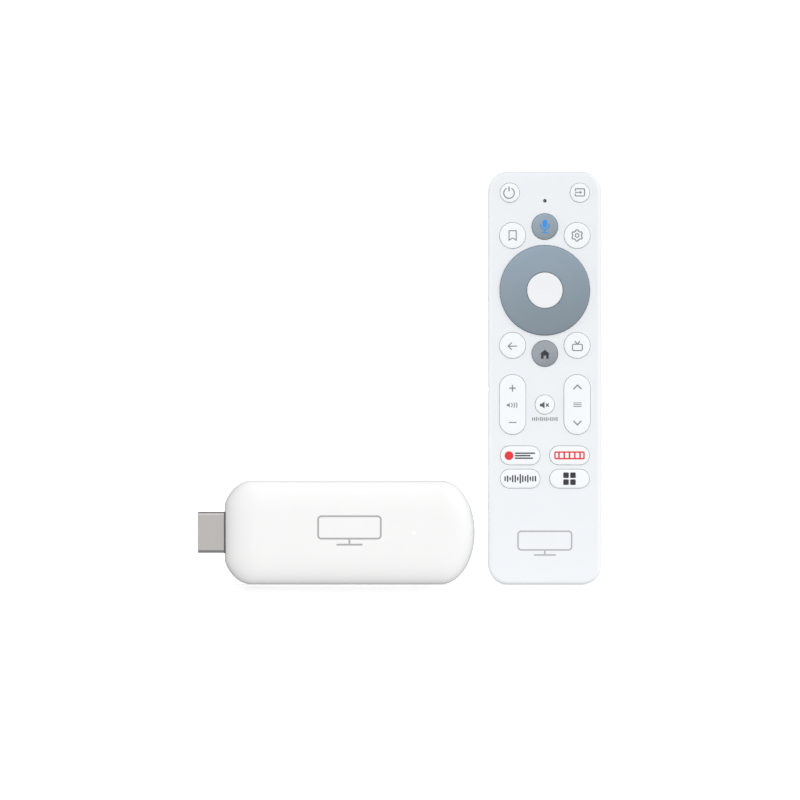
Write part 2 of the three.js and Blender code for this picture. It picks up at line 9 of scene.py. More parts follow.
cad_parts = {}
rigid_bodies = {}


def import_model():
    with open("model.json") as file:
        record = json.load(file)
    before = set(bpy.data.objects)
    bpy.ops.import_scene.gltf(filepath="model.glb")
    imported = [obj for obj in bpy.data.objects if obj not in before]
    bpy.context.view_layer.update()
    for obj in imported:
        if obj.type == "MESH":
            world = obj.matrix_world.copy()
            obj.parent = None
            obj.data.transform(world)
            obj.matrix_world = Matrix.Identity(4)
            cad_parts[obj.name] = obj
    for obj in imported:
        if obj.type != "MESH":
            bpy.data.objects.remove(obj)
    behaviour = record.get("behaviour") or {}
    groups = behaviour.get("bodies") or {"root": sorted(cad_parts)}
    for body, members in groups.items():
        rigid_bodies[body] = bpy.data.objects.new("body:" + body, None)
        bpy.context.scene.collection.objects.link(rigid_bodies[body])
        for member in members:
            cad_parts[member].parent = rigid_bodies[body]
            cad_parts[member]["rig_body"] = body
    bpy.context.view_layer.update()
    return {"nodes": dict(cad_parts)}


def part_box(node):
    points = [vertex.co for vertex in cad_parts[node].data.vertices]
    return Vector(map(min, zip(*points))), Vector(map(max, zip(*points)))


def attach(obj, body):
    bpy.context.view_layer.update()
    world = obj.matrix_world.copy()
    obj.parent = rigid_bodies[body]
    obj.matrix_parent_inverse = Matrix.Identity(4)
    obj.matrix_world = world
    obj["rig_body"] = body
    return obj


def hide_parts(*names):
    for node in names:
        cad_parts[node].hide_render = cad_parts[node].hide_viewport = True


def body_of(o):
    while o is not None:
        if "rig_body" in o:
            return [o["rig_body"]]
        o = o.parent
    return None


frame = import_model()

MM = 0.001
QUARTER = math.pi / 2

Box = namedtuple("Box", "x0 x1 y0 y1 z0 z1")
Spot = namedtuple("Spot", "x y rx ry")


class Device:
    """One device's own axes, in millimetres, and where they stand in the frame."""

    def __init__(self, x, z):
        self.x = x
        self.z = z
        self.matrix = Matrix(((MM, 0, 0, x * MM), (0, 0, -MM, 0), (0, MM, 0, z * MM), (0, 0, 0, 1)))

    def box(self, node):
        low, high = (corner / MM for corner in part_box(node))
        return Box(low.x - self.x, high.x - self.x, low.z - self.z, high.z - self.z, -high.y, -low.y)

    def spot(self, node, rim=0.0):
        """The middle of a node's face and its half sizes, without its hidden rim."""
        b = self.box(node)
        return Spot((b.x0 + b.x1) / 2, (b.y0 + b.y1) / 2, (b.x1 - b.x0) / 2 - rim, (b.y1 - b.y0) / 2 - rim)


stick_low, stick_high = (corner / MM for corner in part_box("stick_front_shell"))
remote_low, remote_high = (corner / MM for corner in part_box("remote_front_shell"))
stick = Device(stick_low.x, (stick_low.z + stick_high.z) / 2)
remote = Device((remote_low.x + remote_high.x) / 2, remote_low.z)

# ------------------------------------------------------------------ sizes, in millimetres
STICK_FRONT = stick.box("stick_front_shell")
STICK_REAR = stick.box("stick_rear_shell")
STICK_LENGTH = STICK_FRONT.x1
STICK_HALF = STICK_FRONT.y1
STICK_WALL = 1.5
PLUG_END = 11  # half-ellipse depth at the plug end
OVERSHOOT = 1.95  # how far that ellipse would run on past the flat plug face
FAR_END = 11.6
FRONT_EDGE = {"width": 12, "depth": 4.5, "power": 2.6}
BACK_EDGE = {"width": 3.5, "depth": 3.5, "power": 2}
PLUG_FACE_ROUND = 0.45
PLUG_END_EDGE = {"width": 9.2, "depth": 4.5, "power": 2}  # the front edge over the plug

REMOTE_FRONT = remote.box("remote_front_shell")
REMOTE_REAR = remote.box("remote_rear_shell")
REMOTE_HALF = REMOTE_FRONT.x1
REMOTE_LENGTH = REMOTE_FRONT.y1
REMOTE_WALL = 1.6
KEY_PLATE = 1.5
REMOTE_CORNER = 6.5
FRONT_ROLL = 1.4
SIDE_ROLL = 7
END_ROLL = 3.5

SEAM_GAP = 0.2  # between two shells
SEAM_ROUND = 0.12  # on the shells' meeting edges
KEY_GAP = 0.1
HOLE_ROUND = 0.14  # on the rims of the key holes
FLANGE = 0.35  # each key's hidden rim
KEY_BOTTOM = remote.box("power_button").z0
KEY_TOP = remote.box("power_button").z1
FLANGE_TOP = 6.75
ROCK_FLANGE_TOP = 6.35
MARK = 0.03  # how far a printed mark stands out
MARK_ROOT = 0.1  # and how deep it is set in

# ------------------------------------------------------------------ forms: (verts, faces)
def loft(levels):
    """A closed form through rings of equal point count, given as (z, ring) from low to high."""
    count = len(levels[0][1])
    verts = [(x, y, z) for z, ring in levels for x, y in ring]
    faces = [tuple(range(count))[::-1]]
    for k in range(len(levels) - 1):
        for i in range(count):
            a = k * count + i
            b = k * count + (i + 1) % count
            faces.append((a, b, b + count, a + count))
    last = (len(levels) - 1) * count
    faces.append(tuple(range(last, last + count)))
    return verts, faces


def hoop(rings):
    """A closed form through rings of 3-D points, the last joined to the first again."""
    count = len(rings[0])
    verts = [point for ring in rings for point in ring]
    faces = []
    for k in range(len(rings)):
        for i in range(count):
            j = (i + 1) % count
            here = k * count
            there = (k + 1) % len(rings) * count
            faces.append((here + i, here + j, there + j, there + i))
    return verts, faces


def circle(radius, x=0.0, y=0.0, steps=72):
    angles = [2 * math.pi * i / steps for i in range(steps)]
    return [(x + radius * math.cos(a), y + radius * math.sin(a)) for a in angles]


def turned(profile, x=0.0, y=0.0, steps=72):
    """A form turned about z from (radius, z) points that run up its outside. A point is never on the axis."""
    return loft([(z, circle(radius, x, y, steps)) for radius, z in profile])


def turned_ring(profile, x=0.0, y=0.0, steps=144):
    """A ring turned about z from (radius, z) points that go once round its section, outside going up."""
    return hoop([[(a, b, z) for a, b in circle(radius, x, y, steps)] for radius, z in profile])


def round_ring(half_x, half_y, corner, x=0.0, y=0.0, per=12):
    """A rounded rectangle as a ring of points, anticlockwise."""
    corner = max(min(corner, half_x, half_y), 0.001)
    ring = []
    for quarter, (sx, sy) in enumerate(((1, 1), (-1, 1), (-1, -1), (1, -1))):
        for i in range(per + 1):
            angle = (quarter + i / per) * QUARTER
            across = sx * (half_x - corner) + corner * math.cos(angle)
            up = sy * (half_y - corner) + corner * math.sin(angle)
            ring.append((x + across, y + up))
    return ring


def is_anticlockwise(ring):
    return sum(a[0] * b[1] - b[0] * a[1] for a, b in zip(ring, ring[1:] + ring[:1])) > 0


def slab(ring, z0, z1):
    ring = ring if is_anticlockwise(ring) else ring[::-1]
    return loft([(z0, ring), (z1, ring)])


def block(x0, x1, y0, y1, z0, z1):
    return slab([(x0, y0), (x1, y0), (x1, y1), (x0, y1)], z0, z1)


def rod(radius, z0, z1, x=0.0, y=0.0, steps=48):
    return slab(circle(radius, x, y, steps), z0, z1)


def joined(*forms):
    verts = []
    faces = []
    for more, sides in forms:
        start = len(verts)
        verts += more
        faces += [tuple(start + i for i in side) for side in sides]
    return verts, faces


def placed(form, place):
    """A form with every point put through a function that keeps its handedness."""
    verts, faces = form
    return [place(*point) for point in verts], faces


def moved(form, x=0.0, y=0.0, z=0.0):
    return placed(form, lambda a, b, c: (a + x, b + y, c + z))


def along_x(form):
    """Lays a form down, so that its x, y and z run along y, z and x."""
    return placed(form, lambda a, b, c: (c, a, b))


def along_y(form):
    """Stands a form up, so that its x, y and z run along z, x and y."""
    return placed(form, lambda a, b, c: (b, c, a))


def linked(name, data):
    """A new object in the scene."""
    made = bpy.data.objects.new(name, data)
    bpy.context.scene.collection.objects.link(made)
    return made


def mesh_of(form, name):
    mesh = bpy.data.meshes.new(name)
    mesh.from_pydata(form[0], [], form[1])
    return mesh


def combined(form, operation, tools):
    """A form after a boolean with tools that don't overlap each other."""
    solids = {"first": form, "tools": joined(*tools)}
    made = [linked(name, mesh_of(solid, name)) for name, solid in solids.items()]
    modifier = made[0].modifiers.new("boolean", "BOOLEAN")
    modifier.operation = operation
    modifier.object = made[1]
    modifier.solver = "MANIFOLD"
    result = made[0].evaluated_get(bpy.context.evaluated_depsgraph_get()).to_mesh()
    verts = [tuple(v.co) for v in result.vertices]
    faces = [tuple(p.vertices) for p in result.polygons]
    for piece in made:
        mesh = piece.data
        bpy.data.objects.remove(piece)
        bpy.data.meshes.remove(mesh)
    return verts, faces


def cut(form, *tools):
    return combined(form, "DIFFERENCE", tools)


def fused(form, *others):
    for other in others:
        form = combined(form, "UNION", [other])
    return form


def shared(form, other):
    return combined(form, "INTERSECT", [other])


def quarter_steps(steps):
    """The sine and cosine at even steps through a quarter turn."""
    return [(math.sin(QUARTER * k / steps), math.cos(QUARTER * k / steps)) for k in range(steps + 1)]


def flared(ring_at, face, depth, flare, clear=1.0):
    """A cutter for a hole with a rounded rim. ring_at(grow) is its outline, moved out by grow."""
    levels = [(face - depth, ring_at(0))]
    for sine, cosine in quarter_steps(5):
        levels.append((face - flare + flare * sine, ring_at(flare * (1 - cosine))))
    levels.append((face + clear, ring_at(flare)))
    return loft(levels)


def flipped(form):
    """A form turned over, with its top looking down."""
    return placed(form, lambda a, b, c: (a, -b, -c))


def roll_in(along, depth, width, power=2.0):
    """How far a rounded edge has rolled in, at a distance along its depth. Power 2 is an ellipse."""
    if along <= 0:
        return 0.0
    return width * (1 - max(0.0, 1 - (along / depth) ** power) ** (1 / power))


def edge_heights(start, depth, steps):
    """Heights through a rounded edge, closer together where it turns fastest."""
    return [start + depth * math.sin((k + 1) / steps * QUARTER) for k in range(steps)]


def shell_form(z0, z1, heights, ring_at, seam):
    """A body between two ends, through ring_at(z, more) at the heights between them.

    The end at the seam is rounded: the low end for a seam above 0, the high end for one below 0.
    """
    inside = sorted(z for z in heights if z0 + 0.2 < z < z1 - 0.001)
    levels = [(z, ring_at(z)) for z in [z0, *inside, z1]]
    steps = quarter_steps(4)
    if seam > 0:
        levels[:1] = [(z0 + seam * (1 - c), ring_at(z0, seam * (1 - s))) for s, c in steps]
    if seam < 0:
        levels[-1:] = [(z1 + seam * (1 - c), ring_at(z1, seam * (s - 1))) for s, c in reversed(steps)]
    return loft(levels)

# ------------------------------------------------------------------ printed marks, as thin forms
STROKE = 0.35


def arc(radius, start, end, x=0.0, y=0.0, steps=28):
    """Points on an arc, from one angle to another in degrees."""
    angles = [math.radians(start + (end - start) * i / steps) for i in range(steps + 1)]
    return [(x + radius * math.cos(a), y + radius * math.sin(a)) for a in angles]


def beside(points, distance, closed):
    """The points moved to the left of the way they run, with mitred corners."""
    out = []
    count = len(points)
    for i, point in enumerate(points):
        normals = []
        for a, b in ((i - 1, i), (i, i + 1)):
            if closed or (a >= 0 and b < count):
                way = (Vector(points[b % count]) - Vector(points[a % count])).normalized()
                normals.append(Vector((-way.y, way.x)))
        mean = sum(normals, Vector((0, 0))).normalized()
        reach = distance / max(mean.dot(normals[0]), 0.4)
        out.append((point[0] + mean.x * reach, point[1] + mean.y * reach))
    return out


def line(points, width=STROKE, closed=False):
    """A line of even width as a flat form, with round ends. It stands from 0 to 1 in z."""
    left = beside(points, width / 2, closed)
    right = beside(points, -width / 2, closed)
    if closed:
        outer, inner = (right, left) if is_anticlockwise(points) else (left[::-1], right[::-1])
        levels = ((outer, 0), (outer, 1), (inner, 1), (inner, 0))
        return hoop([[(x, y, z) for x, y in ring] for ring, z in levels])
    ends = []
    for end, inner in ((points[-1], points[-2]), (points[0], points[1])):
        way = math.degrees(math.atan2(end[1] - inner[1], end[0] - inner[0]))
        ends.append(arc(width / 2, way - 90, way + 90, *end, steps=8))
    return slab(right[1:-1] + ends[0] + left[1:-1][::-1] + ends[1], 0, 1)


def patch(points):
    """A filled outline, from 0 to 1 in z."""
    return slab(points, 0, 1)


def disc(radius, x=0.0, y=0.0, steps=36):
    return patch(circle(radius, x, y, steps))


def bar(x0, x1, y0, y1, corner=0.15):
    half_x = (x1 - x0) / 2
    half_y = (y1 - y0) / 2
    return patch(round_ring(half_x, half_y, corner, x0 + half_x, y0 + half_y, 5))


def softened(points, radius, closed=True, steps=6):
    """The points with their corners rounded."""
    out = []
    for i, point in enumerate(points):
        if not closed and i in (0, len(points) - 1):
            out.append(point)
            continue
        here = Vector(point)
        before = here + (Vector(points[i - 1]) - here).normalized() * radius
        after = here + (Vector(points[(i + 1) % len(points)]) - here).normalized() * radius
        for k in range(steps + 1):
            t = k / steps
            spot = before * (1 - t) ** 2 + here * (2 * t * (1 - t)) + after * t**2
            out.append((spot.x, spot.y))
    return out


def frame_line(half_x, half_y, corner, width=STROKE, x=0.0, y=0.0):
    return line(round_ring(half_x, half_y, corner, x, y, 6), width, closed=True)


def power_mark():
    return [line(arc(1.8, 122, 418)), line([(0, 0.75), (0, 2.05)], 0.4)]


def input_mark():
    border = [(-1.6, 0.55), (-1.6, 1.22), (1.6, 1.22), (1.6, -1.22), (-1.6, -1.22), (-1.6, -0.55)]
    arrow = [line([(-1.55, 0), (0.1, 0)], 0.3), patch([(0.0, -0.55), (0.75, 0), (0.0, 0.55)])]
    return [line(softened(border, 0.35, closed=False)), *arrow]


def bookmark_mark():
    return [line([(-1.22, 1.62), (1.22, 1.62), (1.22, -1.62), (0, -0.85), (-1.22, -1.62)], 0.32, closed=True)]


def gear_mark():
    """Six soft teeth round a small ring."""
    rim = []
    for i in range(96):
        angle = 2 * math.pi * i / 96
        radius = 1.7 + 0.22 * math.tanh(2.2 * math.cos(6 * (angle - QUARTER)))
        rim.append((radius * math.cos(angle), radius * math.sin(angle)))
    return [line(rim, 0.36, closed=True), line(circle(0.62, steps=36), 0.34, closed=True)]


def back_mark():
    return [line([(-1.35, 0), (1.4, 0)]), line([(-0.35, 1.15), (-1.5, 0), (-0.35, -1.15)])]


def television_mark():
    body = frame_line(1.68, 1.08, 0.45, x=0, y=-0.5)
    return [body, line([(-0.06, 0.7), (-0.8, 1.55)], 0.34), line([(0.06, 0.7), (0.8, 1.55)], 0.34)]


def home_mark():
    half = [(0.45, -1.45), (0.45, -0.4), (0, -0.4)]
    wall = [(0, 1.6), (1.65, 0.2), (1.3, 0.2), (1.3, -1.45)]
    right = wall + half
    left = [(-x, y) for x, y in right[1:-1]]
    return [patch(right + left[::-1])]


def speaker(x, scale):
    points = [(-0.68, -0.42), (-0.68, 0.42), (-0.1, 0.42), (0.68, 1.05), (0.68, -1.05), (-0.1, -0.42)]
    return patch([(x + a * scale, b * scale) for a, b in points])


def mute_mark():
    cross = [line([(0.6, way * 0.42), (1.35, way * -0.42)], 0.38) for way in (1, -1)]
    return [speaker(-0.75, 1.15), *cross]


def plus_mark():
    return [line([(-0.97, 0), (0.97, 0)], 0.4), line([(0, -0.97), (0, 0.97)], 0.4)]


def minus_mark():
    return [line([(-1.15, 0), (1.15, 0)], 0.34)]


def chevron_mark(way):
    return [line([(-1.25, -0.65 * way), (0, 0.65 * way), (1.25, -0.65 * way)], 0.42)]


def volume_mark():
    arcs = ((0.85, 48), (1.65, 27), (2.45, 18))
    waves = [line(arc(radius, -turn, turn, -1.0), 0.3) for radius, turn in arcs]
    return [speaker(-1.5, 0.75), *waves]


def channel_mark():
    return [bar(-1.4, 1.4, y - 0.13, y + 0.13, 0.1) for y in (-0.62, 0, 0.62)]


def wave_bars(count, pitch, heights, width):
    """A row of upright bars whose heights come from a function of their number."""
    start = -(count - 1) / 2 * pitch
    bars = []
    for k in range(count):
        x = start + k * pitch
        bars.append(line([(x, -heights(k) / 2), (x, heights(k) / 2)], width))
    return bars


def label_mark():
    return wave_bars(13, 0.69, lambda k: 0.55 + 0.55 * abs(math.sin(1.9 * k + 0.6)), 0.34)


def sound_mark():
    def height(k):
        return 0.5 + 2.4 * abs(math.sin(1.15 * k + 0.7)) * (1 - abs(k - 6) / 11)

    return wave_bars(13, 0.86, height, 0.46)


def list_mark():
    rows = ((0.85, 6.5), (0, 4.9), (-0.85, 5.8))
    return [line([(-3.25, y), (-3.25 + length, y)], 0.46) for y, length in rows]


def film_mark():
    posts = [line([(x, -1.05), (x, 1.05)], 0.55) for x in (-3.6, -1.8, 0, 1.8, 3.6)]
    return [frame_line(4.95, 1.12, 0.3, 0.5), *posts]


def grid_mark():
    spots = [(x, y) for x in (-1.18, 1.18) for y in (-1.18, 1.18)]
    return [bar(x - 0.95, x + 0.95, y - 0.95, y + 0.95, 0.35) for x, y in spots]


def microphone_mark():
    """A microphone: its head, the cup it sits in, and its foot."""
    head = patch(round_ring(0.8, 1.35, 0.8, 0, 0.95))
    cup = line([(-1.45, 0.75), *arc(1.45, 180, 360, 0, 0.45), (1.45, 0.75)], 0.42)
    foot = [line([(0, -1.0), (0, -1.95)], 0.42), line([(-0.8, -2.05), (0.8, -2.05)], 0.42)]
    return [head, cup, *foot]


def screen_on_stand(width, height, weight):
    """A television's outline with a short stand."""
    stand = height * 0.2
    half_x = (width - weight) / 2
    half_y = (height - weight - stand) / 2
    base = -(height - weight) / 2
    screen = frame_line(half_x, half_y, 1.1, weight, y=stand / 2)
    foot = line([(-width * 0.19, base), (width * 0.19, base)], weight)
    post = line([(0, base + stand), (0, base)], weight)
    return [screen, post, foot]

# ------------------------------------------------------------------ materials
class Look:
    """The nodes of a material or a world, and the place that its textures start from."""

    def __init__(self, owner, coordinates="Object"):
        owner.use_nodes = True
        self.owner = owner
        self.tree = owner.node_tree
        self.place = self.node("TexCoord")[coordinates]

    def join(self, inputs, values):
        """Gives sockets their values: another node's output or a plain value."""
        for name, value in values.items():
            if isinstance(value, bpy.types.NodeSocket):
                self.tree.links.new(value, inputs[name])
            else:
                inputs[name].default_value = value

    def node(self, kind, values=None, **settings):
        """The outputs of a new node with its settings and its sockets' values."""
        made = self.tree.nodes.new("ShaderNode" + kind)
        for name, value in settings.items():
            setattr(made, name, value)
        self.join(made.inputs, values or {})
        return made.outputs

    def noise(self, size, detail=3.0, stretch=(1, 1, 1)):
        """A noise with features of about size millimetres, longer along a stretched axis."""
        mapped = self.node("Mapping", {"Scale": [1 / s for s in stretch], "Vector": self.place})["Vector"]
        return self.node("TexNoise", {"Scale": 1 / (size * MM), "Detail": detail, "Vector": mapped})["Fac"]

    def ramp(self, value, stops):
        """Colours along a value, from (place, colour) stops."""
        made = self.tree.nodes.new("ShaderNodeValToRGB")
        elements = made.color_ramp.elements
        while len(elements) < len(stops):
            elements.new(0.5)
        for element, (place, colour) in zip(elements, stops):
            element.position = place
            element.color = (*colour, 1)
        self.tree.links.new(value, made.inputs["Fac"])
        return made.outputs["Color"]

    def ranged(self, value, low, high, start=0.3, end=0.7):
        values = {"Value": value, "From Min": start, "From Max": end, "To Min": low, "To Max": high}
        return self.node("MapRange", values)["Result"]

    def along(self, axis, place=None):
        return self.node("SeparateXYZ", {"Vector": place or self.place})[axis]

    def finished(self, colour, gloss, relief=None, **values):
        """The material. Relief is a height and its depth. The other names have _ for a blank."""
        values = {name.replace("_", " "): value for name, value in values.items()}
        values |= {"Base Color": colour, "Roughness": gloss}
        if relief:
            height, depth = relief
            values["Normal"] = self.node("Bump", {"Distance": depth * MM, "Height": height})["Normal"]
        self.join(self.tree.nodes["Principled BSDF"].inputs, values)
        return self.owner


def new_look(name):
    return Look(bpy.data.materials.new(name))


def tinted(colour, factor):
    return tuple(min(c * factor, 1.0) for c in colour)


def surface(name, colour, roughness, metallic, vary=0.03, drift=9, grain=0.18, depth=0.004, **more):
    """A moulded, printed or rolled surface: fine grain, slow colour drift and uneven gloss.

    vary is the colour's drift over drift millimetres; grain and depth are the texture's size and height.
    """
    stretch = more.get("stretch", (1, 1, 1))
    sweep = 0.06  # of the roughness
    look = new_look(name)
    stops = [(0.3, tinted(colour, 1 - vary)), (0.7, tinted(colour, 1 + vary))]
    return look.finished(
        look.ramp(look.noise(drift, 2), stops),
        look.ranged(look.noise(grain * 14, 4, stretch), roughness - sweep, roughness + sweep),
        (look.noise(grain, 2, stretch), depth),
        Metallic=metallic,
        Coat_Weight=more.get("coat", 0.0),
        Emission_Color=(*colour, 1),
        Emission_Strength=more.get("glow", 0.0),
    )


def clear_plastic():
    """A clear moulded plastic with faint flow marks."""
    look = new_look("clear_plastic")
    haze = look.noise(1.2, 3)
    colour = look.ramp(haze, [(0.3, (0.86, 0.88, 0.90)), (0.7, (0.94, 0.95, 0.96))])
    return look.finished(colour, look.ranged(haze, 0.05, 0.16), (haze, 0.002), Transmission_Weight=0.55)


def circuit_board():
    """Green solder mask with copper tracks raised under it."""
    look = new_look("circuit_board")
    upright = look.node("Mapping", {"Rotation": (QUARTER, 0, 0), "Vector": look.place})["Vector"]
    values = {"Scale": 1 / (4 * MM), "Mortar Size": 0.035, "Vector": upright}
    values |= {"Color1": (0.008, 0.075, 0.035, 1), "Color2": (0.010, 0.095, 0.045, 1)}
    tracks = look.node("TexBrick", values | {"Mortar": (0.03, 0.16, 0.07, 1)})
    return look.finished(tracks["Color"], look.ranged(look.noise(0.5, 4), 0.28, 0.45), (tracks["Fac"], 0.02))


def battery_sleeve(name, minus_end, plus_end):
    """A printed metal sleeve, coppery towards its plus end. The ends are heights in millimetres."""
    look = new_look(name)
    steel = (0.45, 0.44, 0.42)
    ink = (0.015, 0.02, 0.03)
    copper = (0.55, 0.25, 0.09)
    line_white = (0.6, 0.6, 0.58)
    stops = [(0.0, steel), (0.012, steel), (0.02, ink), (0.62, ink), (0.63, line_white), (0.64, copper)]
    stops += [(0.955, copper), (0.965, steel)]
    colour = look.ramp(look.ranged(look.along("Z"), 0, 1, minus_end * MM, plus_end * MM), stops)
    scuffs = look.noise(2.5, 5)
    return look.finished(colour, look.ranged(scuffs, 0.24, 0.42), (scuffs, 0.01), Metallic=0.75)


def plug_steel():
    """Brushed steel with painted shade along the plug's lower edge, and a painted highlight under a painted
    dark line at its top.
    """
    look = new_look("plug_steel")
    low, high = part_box("video_plug_shell")
    steel = (0.46, 0.446, 0.428)
    # Painted shade along the plug's lower edge.
    painted_shade = (0.21, 0.21, 0.21)
    # A painted highlight band near the plug's upper edge.
    painted_highlight = (0.62, 0.61, 0.59)
    stops = [(0.0, painted_shade), (0.062, painted_shade), (0.07, steel), (0.935, steel), (0.945, painted_highlight), (0.971, painted_highlight)]
    # The last stop paints a dark line of shade along the very top edge.
    stops += [(0.979, (0.02, 0.019, 0.018))]
    painted_light_bands = look.ramp(look.ranged(look.along("Z"), 0, 1, low.z, high.z), stops)
    brushed = look.noise(0.05, 3, (1, 1, 40))
    streaks = look.ramp(brushed, [(0.3, (0.90, 0.90, 0.90)), (0.7, (1, 1, 1))])
    values = {"Factor": 1.0, "A": painted_light_bands, "B": streaks}
    mixed = look.node("Mix", values, data_type="RGBA", blend_type="MULTIPLY")["Result"]
    return look.finished(mixed, look.ranged(brushed, 0.28, 0.42), (brushed, 0.002), Metallic=1.0)


def grey_key(name, node, tilt, stops):
    """Matt grey plastic with painted light: the stops' colours run darker at a key's foot, lighter at its
    head.
    """
    look = new_look(name)
    low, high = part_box(node)
    values = {"Location": (low + high) / 2, "Rotation": (0, math.radians(tilt), 0), "Vector": look.place}
    tilted = look.node("Mapping", values, vector_type="TEXTURE")["Vector"]
    reach = (high.z - low.z) / 2
    colour = look.ramp(look.ranged(look.along("Z", tilted), 0, 1, -reach, reach), stops)
    return look.finished(colour, look.ranged(look.noise(2, 4), 0.40, 0.52), (look.noise(0.14, 2), 0.003))


# Painted light on the grey keys, as (place, colour) stops: darker at the foot, lighter at the head.
RING_PAINTED_LIGHT = [(0.0, (0.183, 0.231, 0.270)), (0.5, (0.224, 0.286, 0.336)), (1.0, (0.276, 0.354, 0.430))]
ASSISTANT_PAINTED_LIGHT = [(0.0, (0.225, 0.275, 0.29)), (1.0, (0.30, 0.375, 0.465))]
HOME_PAINTED_LIGHT = [(0.0, (0.235, 0.257, 0.28)), (0.6, (0.30, 0.335, 0.37))]
SURFACES = {
    "stick_white": ((0.91, 0.91, 0.907), 0.34, 0, {"vary": 0.006, "grain": 0.25, "depth": 0.002}),
    "remote_white": ((0.80, 0.825, 0.855), 0.46, 0, {"vary": 0.006, "depth": 0.003}),
    "key_white": ((0.855, 0.88, 0.90), 0.42, 0, {"vary": 0.005, "grain": 0.14, "depth": 0.002}),
    "ok_white": ((0.81, 0.825, 0.85), 0.42, 0, {"vary": 0.005, "grain": 0.14, "depth": 0.002}),
    "socket_steel": ((0.62, 0.60, 0.575), 0.33, 1, {"grain": 0.05, "stretch": (30, 1, 1)}),
    # Dark grey for the plug's root collar: real dark plastic, and also painted shade in the joint there.
    "seal_and_shade_grey": ((0.13, 0.128, 0.125), 0.6, 0, {}),
    "black_rubber": ((0.006, 0.006, 0.007), 0.7, 0, {}),
    "black_plastic": ((0.012, 0.012, 0.014), 0.45, 0, {}),
    "chip_black": ((0.02, 0.021, 0.023), 0.6, 0, {"grain": 0.1, "depth": 0.01}),
    "tinplate": ((0.58, 0.59, 0.60), 0.35, 1, {"stretch": (20, 1, 1)}),
    "aluminium": ((0.72, 0.73, 0.74), 0.38, 1, {"stretch": (25, 1, 1)}),
    "thermal_pad": ((0.28, 0.36, 0.46), 0.8, 0, {"vary": 0.1, "grain": 0.4, "depth": 0.03}),
    "silicone": ((0.15, 0.16, 0.17), 0.75, 0, {"vary": 0.05, "grain": 0.3, "depth": 0.01}),
    "nickel": ((0.62, 0.60, 0.56), 0.24, 1, {"grain": 0.08, "depth": 0.002}),
    "gold_contact": ((0.78, 0.55, 0.22), 0.25, 1, {"grain": 0.08, "depth": 0.002}),
    "infrared_window": ((0.012, 0.004, 0.006), 0.1, 0, {"coat": 0.5, "depth": 0.001}),
    # The light guide glows faintly: a painted glow, with no lit lamp behind it.
    "light_guide": ((0.93, 0.94, 0.95), 0.3, 0, {"glow": 0.16, "depth": 0.001}),
    "print_grey": ((0.20, 0.21, 0.22), 0.6, 0, {"vary": 0.12, "drift": 0.4}),
    "print_charcoal": ((0.09, 0.09, 0.1), 0.6, 0, {"vary": 0.12, "drift": 0.4}),
    "print_pale": ((0.42, 0.42, 0.425), 0.5, 0, {"vary": 0.1, "drift": 0.5}),
    "print_dark": ((0.02, 0.022, 0.028), 0.55, 0, {"vary": 0.2, "drift": 0.4}),
    "print_red": ((0.72, 0.02, 0.025), 0.5, 0, {"vary": 0.08, "drift": 0.4}),
    "print_blue": ((0.03, 0.26, 0.75), 0.5, 0, {"vary": 0.08, "drift": 0.4}),
}
MATERIALS = {name: surface(name, *basics, **more) for name, (*basics, more) in SURFACES.items()}
MATERIALS |= {
    "key_grey": grey_key("key_grey", "dpad_ring", -10, RING_PAINTED_LIGHT),
    "assistant_grey": grey_key("assistant_grey", "assistant_button", -20, ASSISTANT_PAINTED_LIGHT),
    "home_grey": grey_key("home_grey", "home_button", -20, HOME_PAINTED_LIGHT),
    "plug_steel": plug_steel(),
    "clear_plastic": clear_plastic(),
    "circuit_board": circuit_board(),
}

# ------------------------------------------------------------------ putting a form in the scene
SHARP = math.radians(32)  # edges that turn more than this stay crisp


def device_of(body):
    return stick if body in ("stick", "reset_button") else remote


def tidied(mesh, weld=0.002):
    """Welds stray points together and marks the edges that stay crisp."""
    bm = bmesh.new()
    bm.from_mesh(mesh)
    bmesh.ops.remove_doubles(bm, verts=bm.verts, dist=weld)
    bmesh.ops.dissolve_degenerate(bm, edges=bm.edges, dist=weld)
    bmesh.ops.recalc_face_normals(bm, faces=bm.faces)
    for face in bm.faces:
        face.smooth = True
    for edge in bm.edges:
        if len(edge.link_faces) == 2:
            edge.smooth = edge.calc_face_angle(0) < SHARP
    bm.to_mesh(mesh)
    bm.free()


def show(name, form, body, slot, stands_for=(), material=None, edge=0.0):
    """Adds a form as a visible piece on a body. Its crisp edges are rounded by edge millimetres."""
    mesh = mesh_of(form, name)
    tidied(mesh)
    piece = linked(name, mesh)
    if edge:
        bevel = piece.modifiers.new("edge", "BEVEL")
        bevel.width = edge
        bevel.segments = 3
        bevel.limit_method = "ANGLE"
        bevel.angle_limit = SHARP
    weighted = piece.modifiers.new("normals", "WEIGHTED_NORMAL")
    weighted.keep_sharp = not edge
    final = bpy.data.meshes.new_from_object(piece.evaluated_get(bpy.context.evaluated_depsgraph_get()))
    piece.modifiers.clear()
    piece.data = final
    bpy.data.meshes.remove(mesh)
    final.name = name
    final.transform(device_of(body).matrix)
    final.materials.clear()
    final.materials.append(material or MATERIALS[slot])
    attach(piece, body)
    if stands_for:
        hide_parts(*stands_for)
    return piece


def stand_in(node, form, body, slot, material=None):
    """Shows a finer form in a CAD node's place."""
    show(node + "_fine", form, body, slot, [node], material)


def print_mark(name, forms, body, slot, x, y, face, material=None):
    """Prints a mark on a face, a little proud of it."""
    verts, faces = fused(*forms)
    low = face - MARK_ROOT
    tall = MARK_ROOT + MARK
    form = ([(a + x, b + y, low + c * tall) for a, b, c in verts], faces)
    show(name, form, body, slot, material=material)

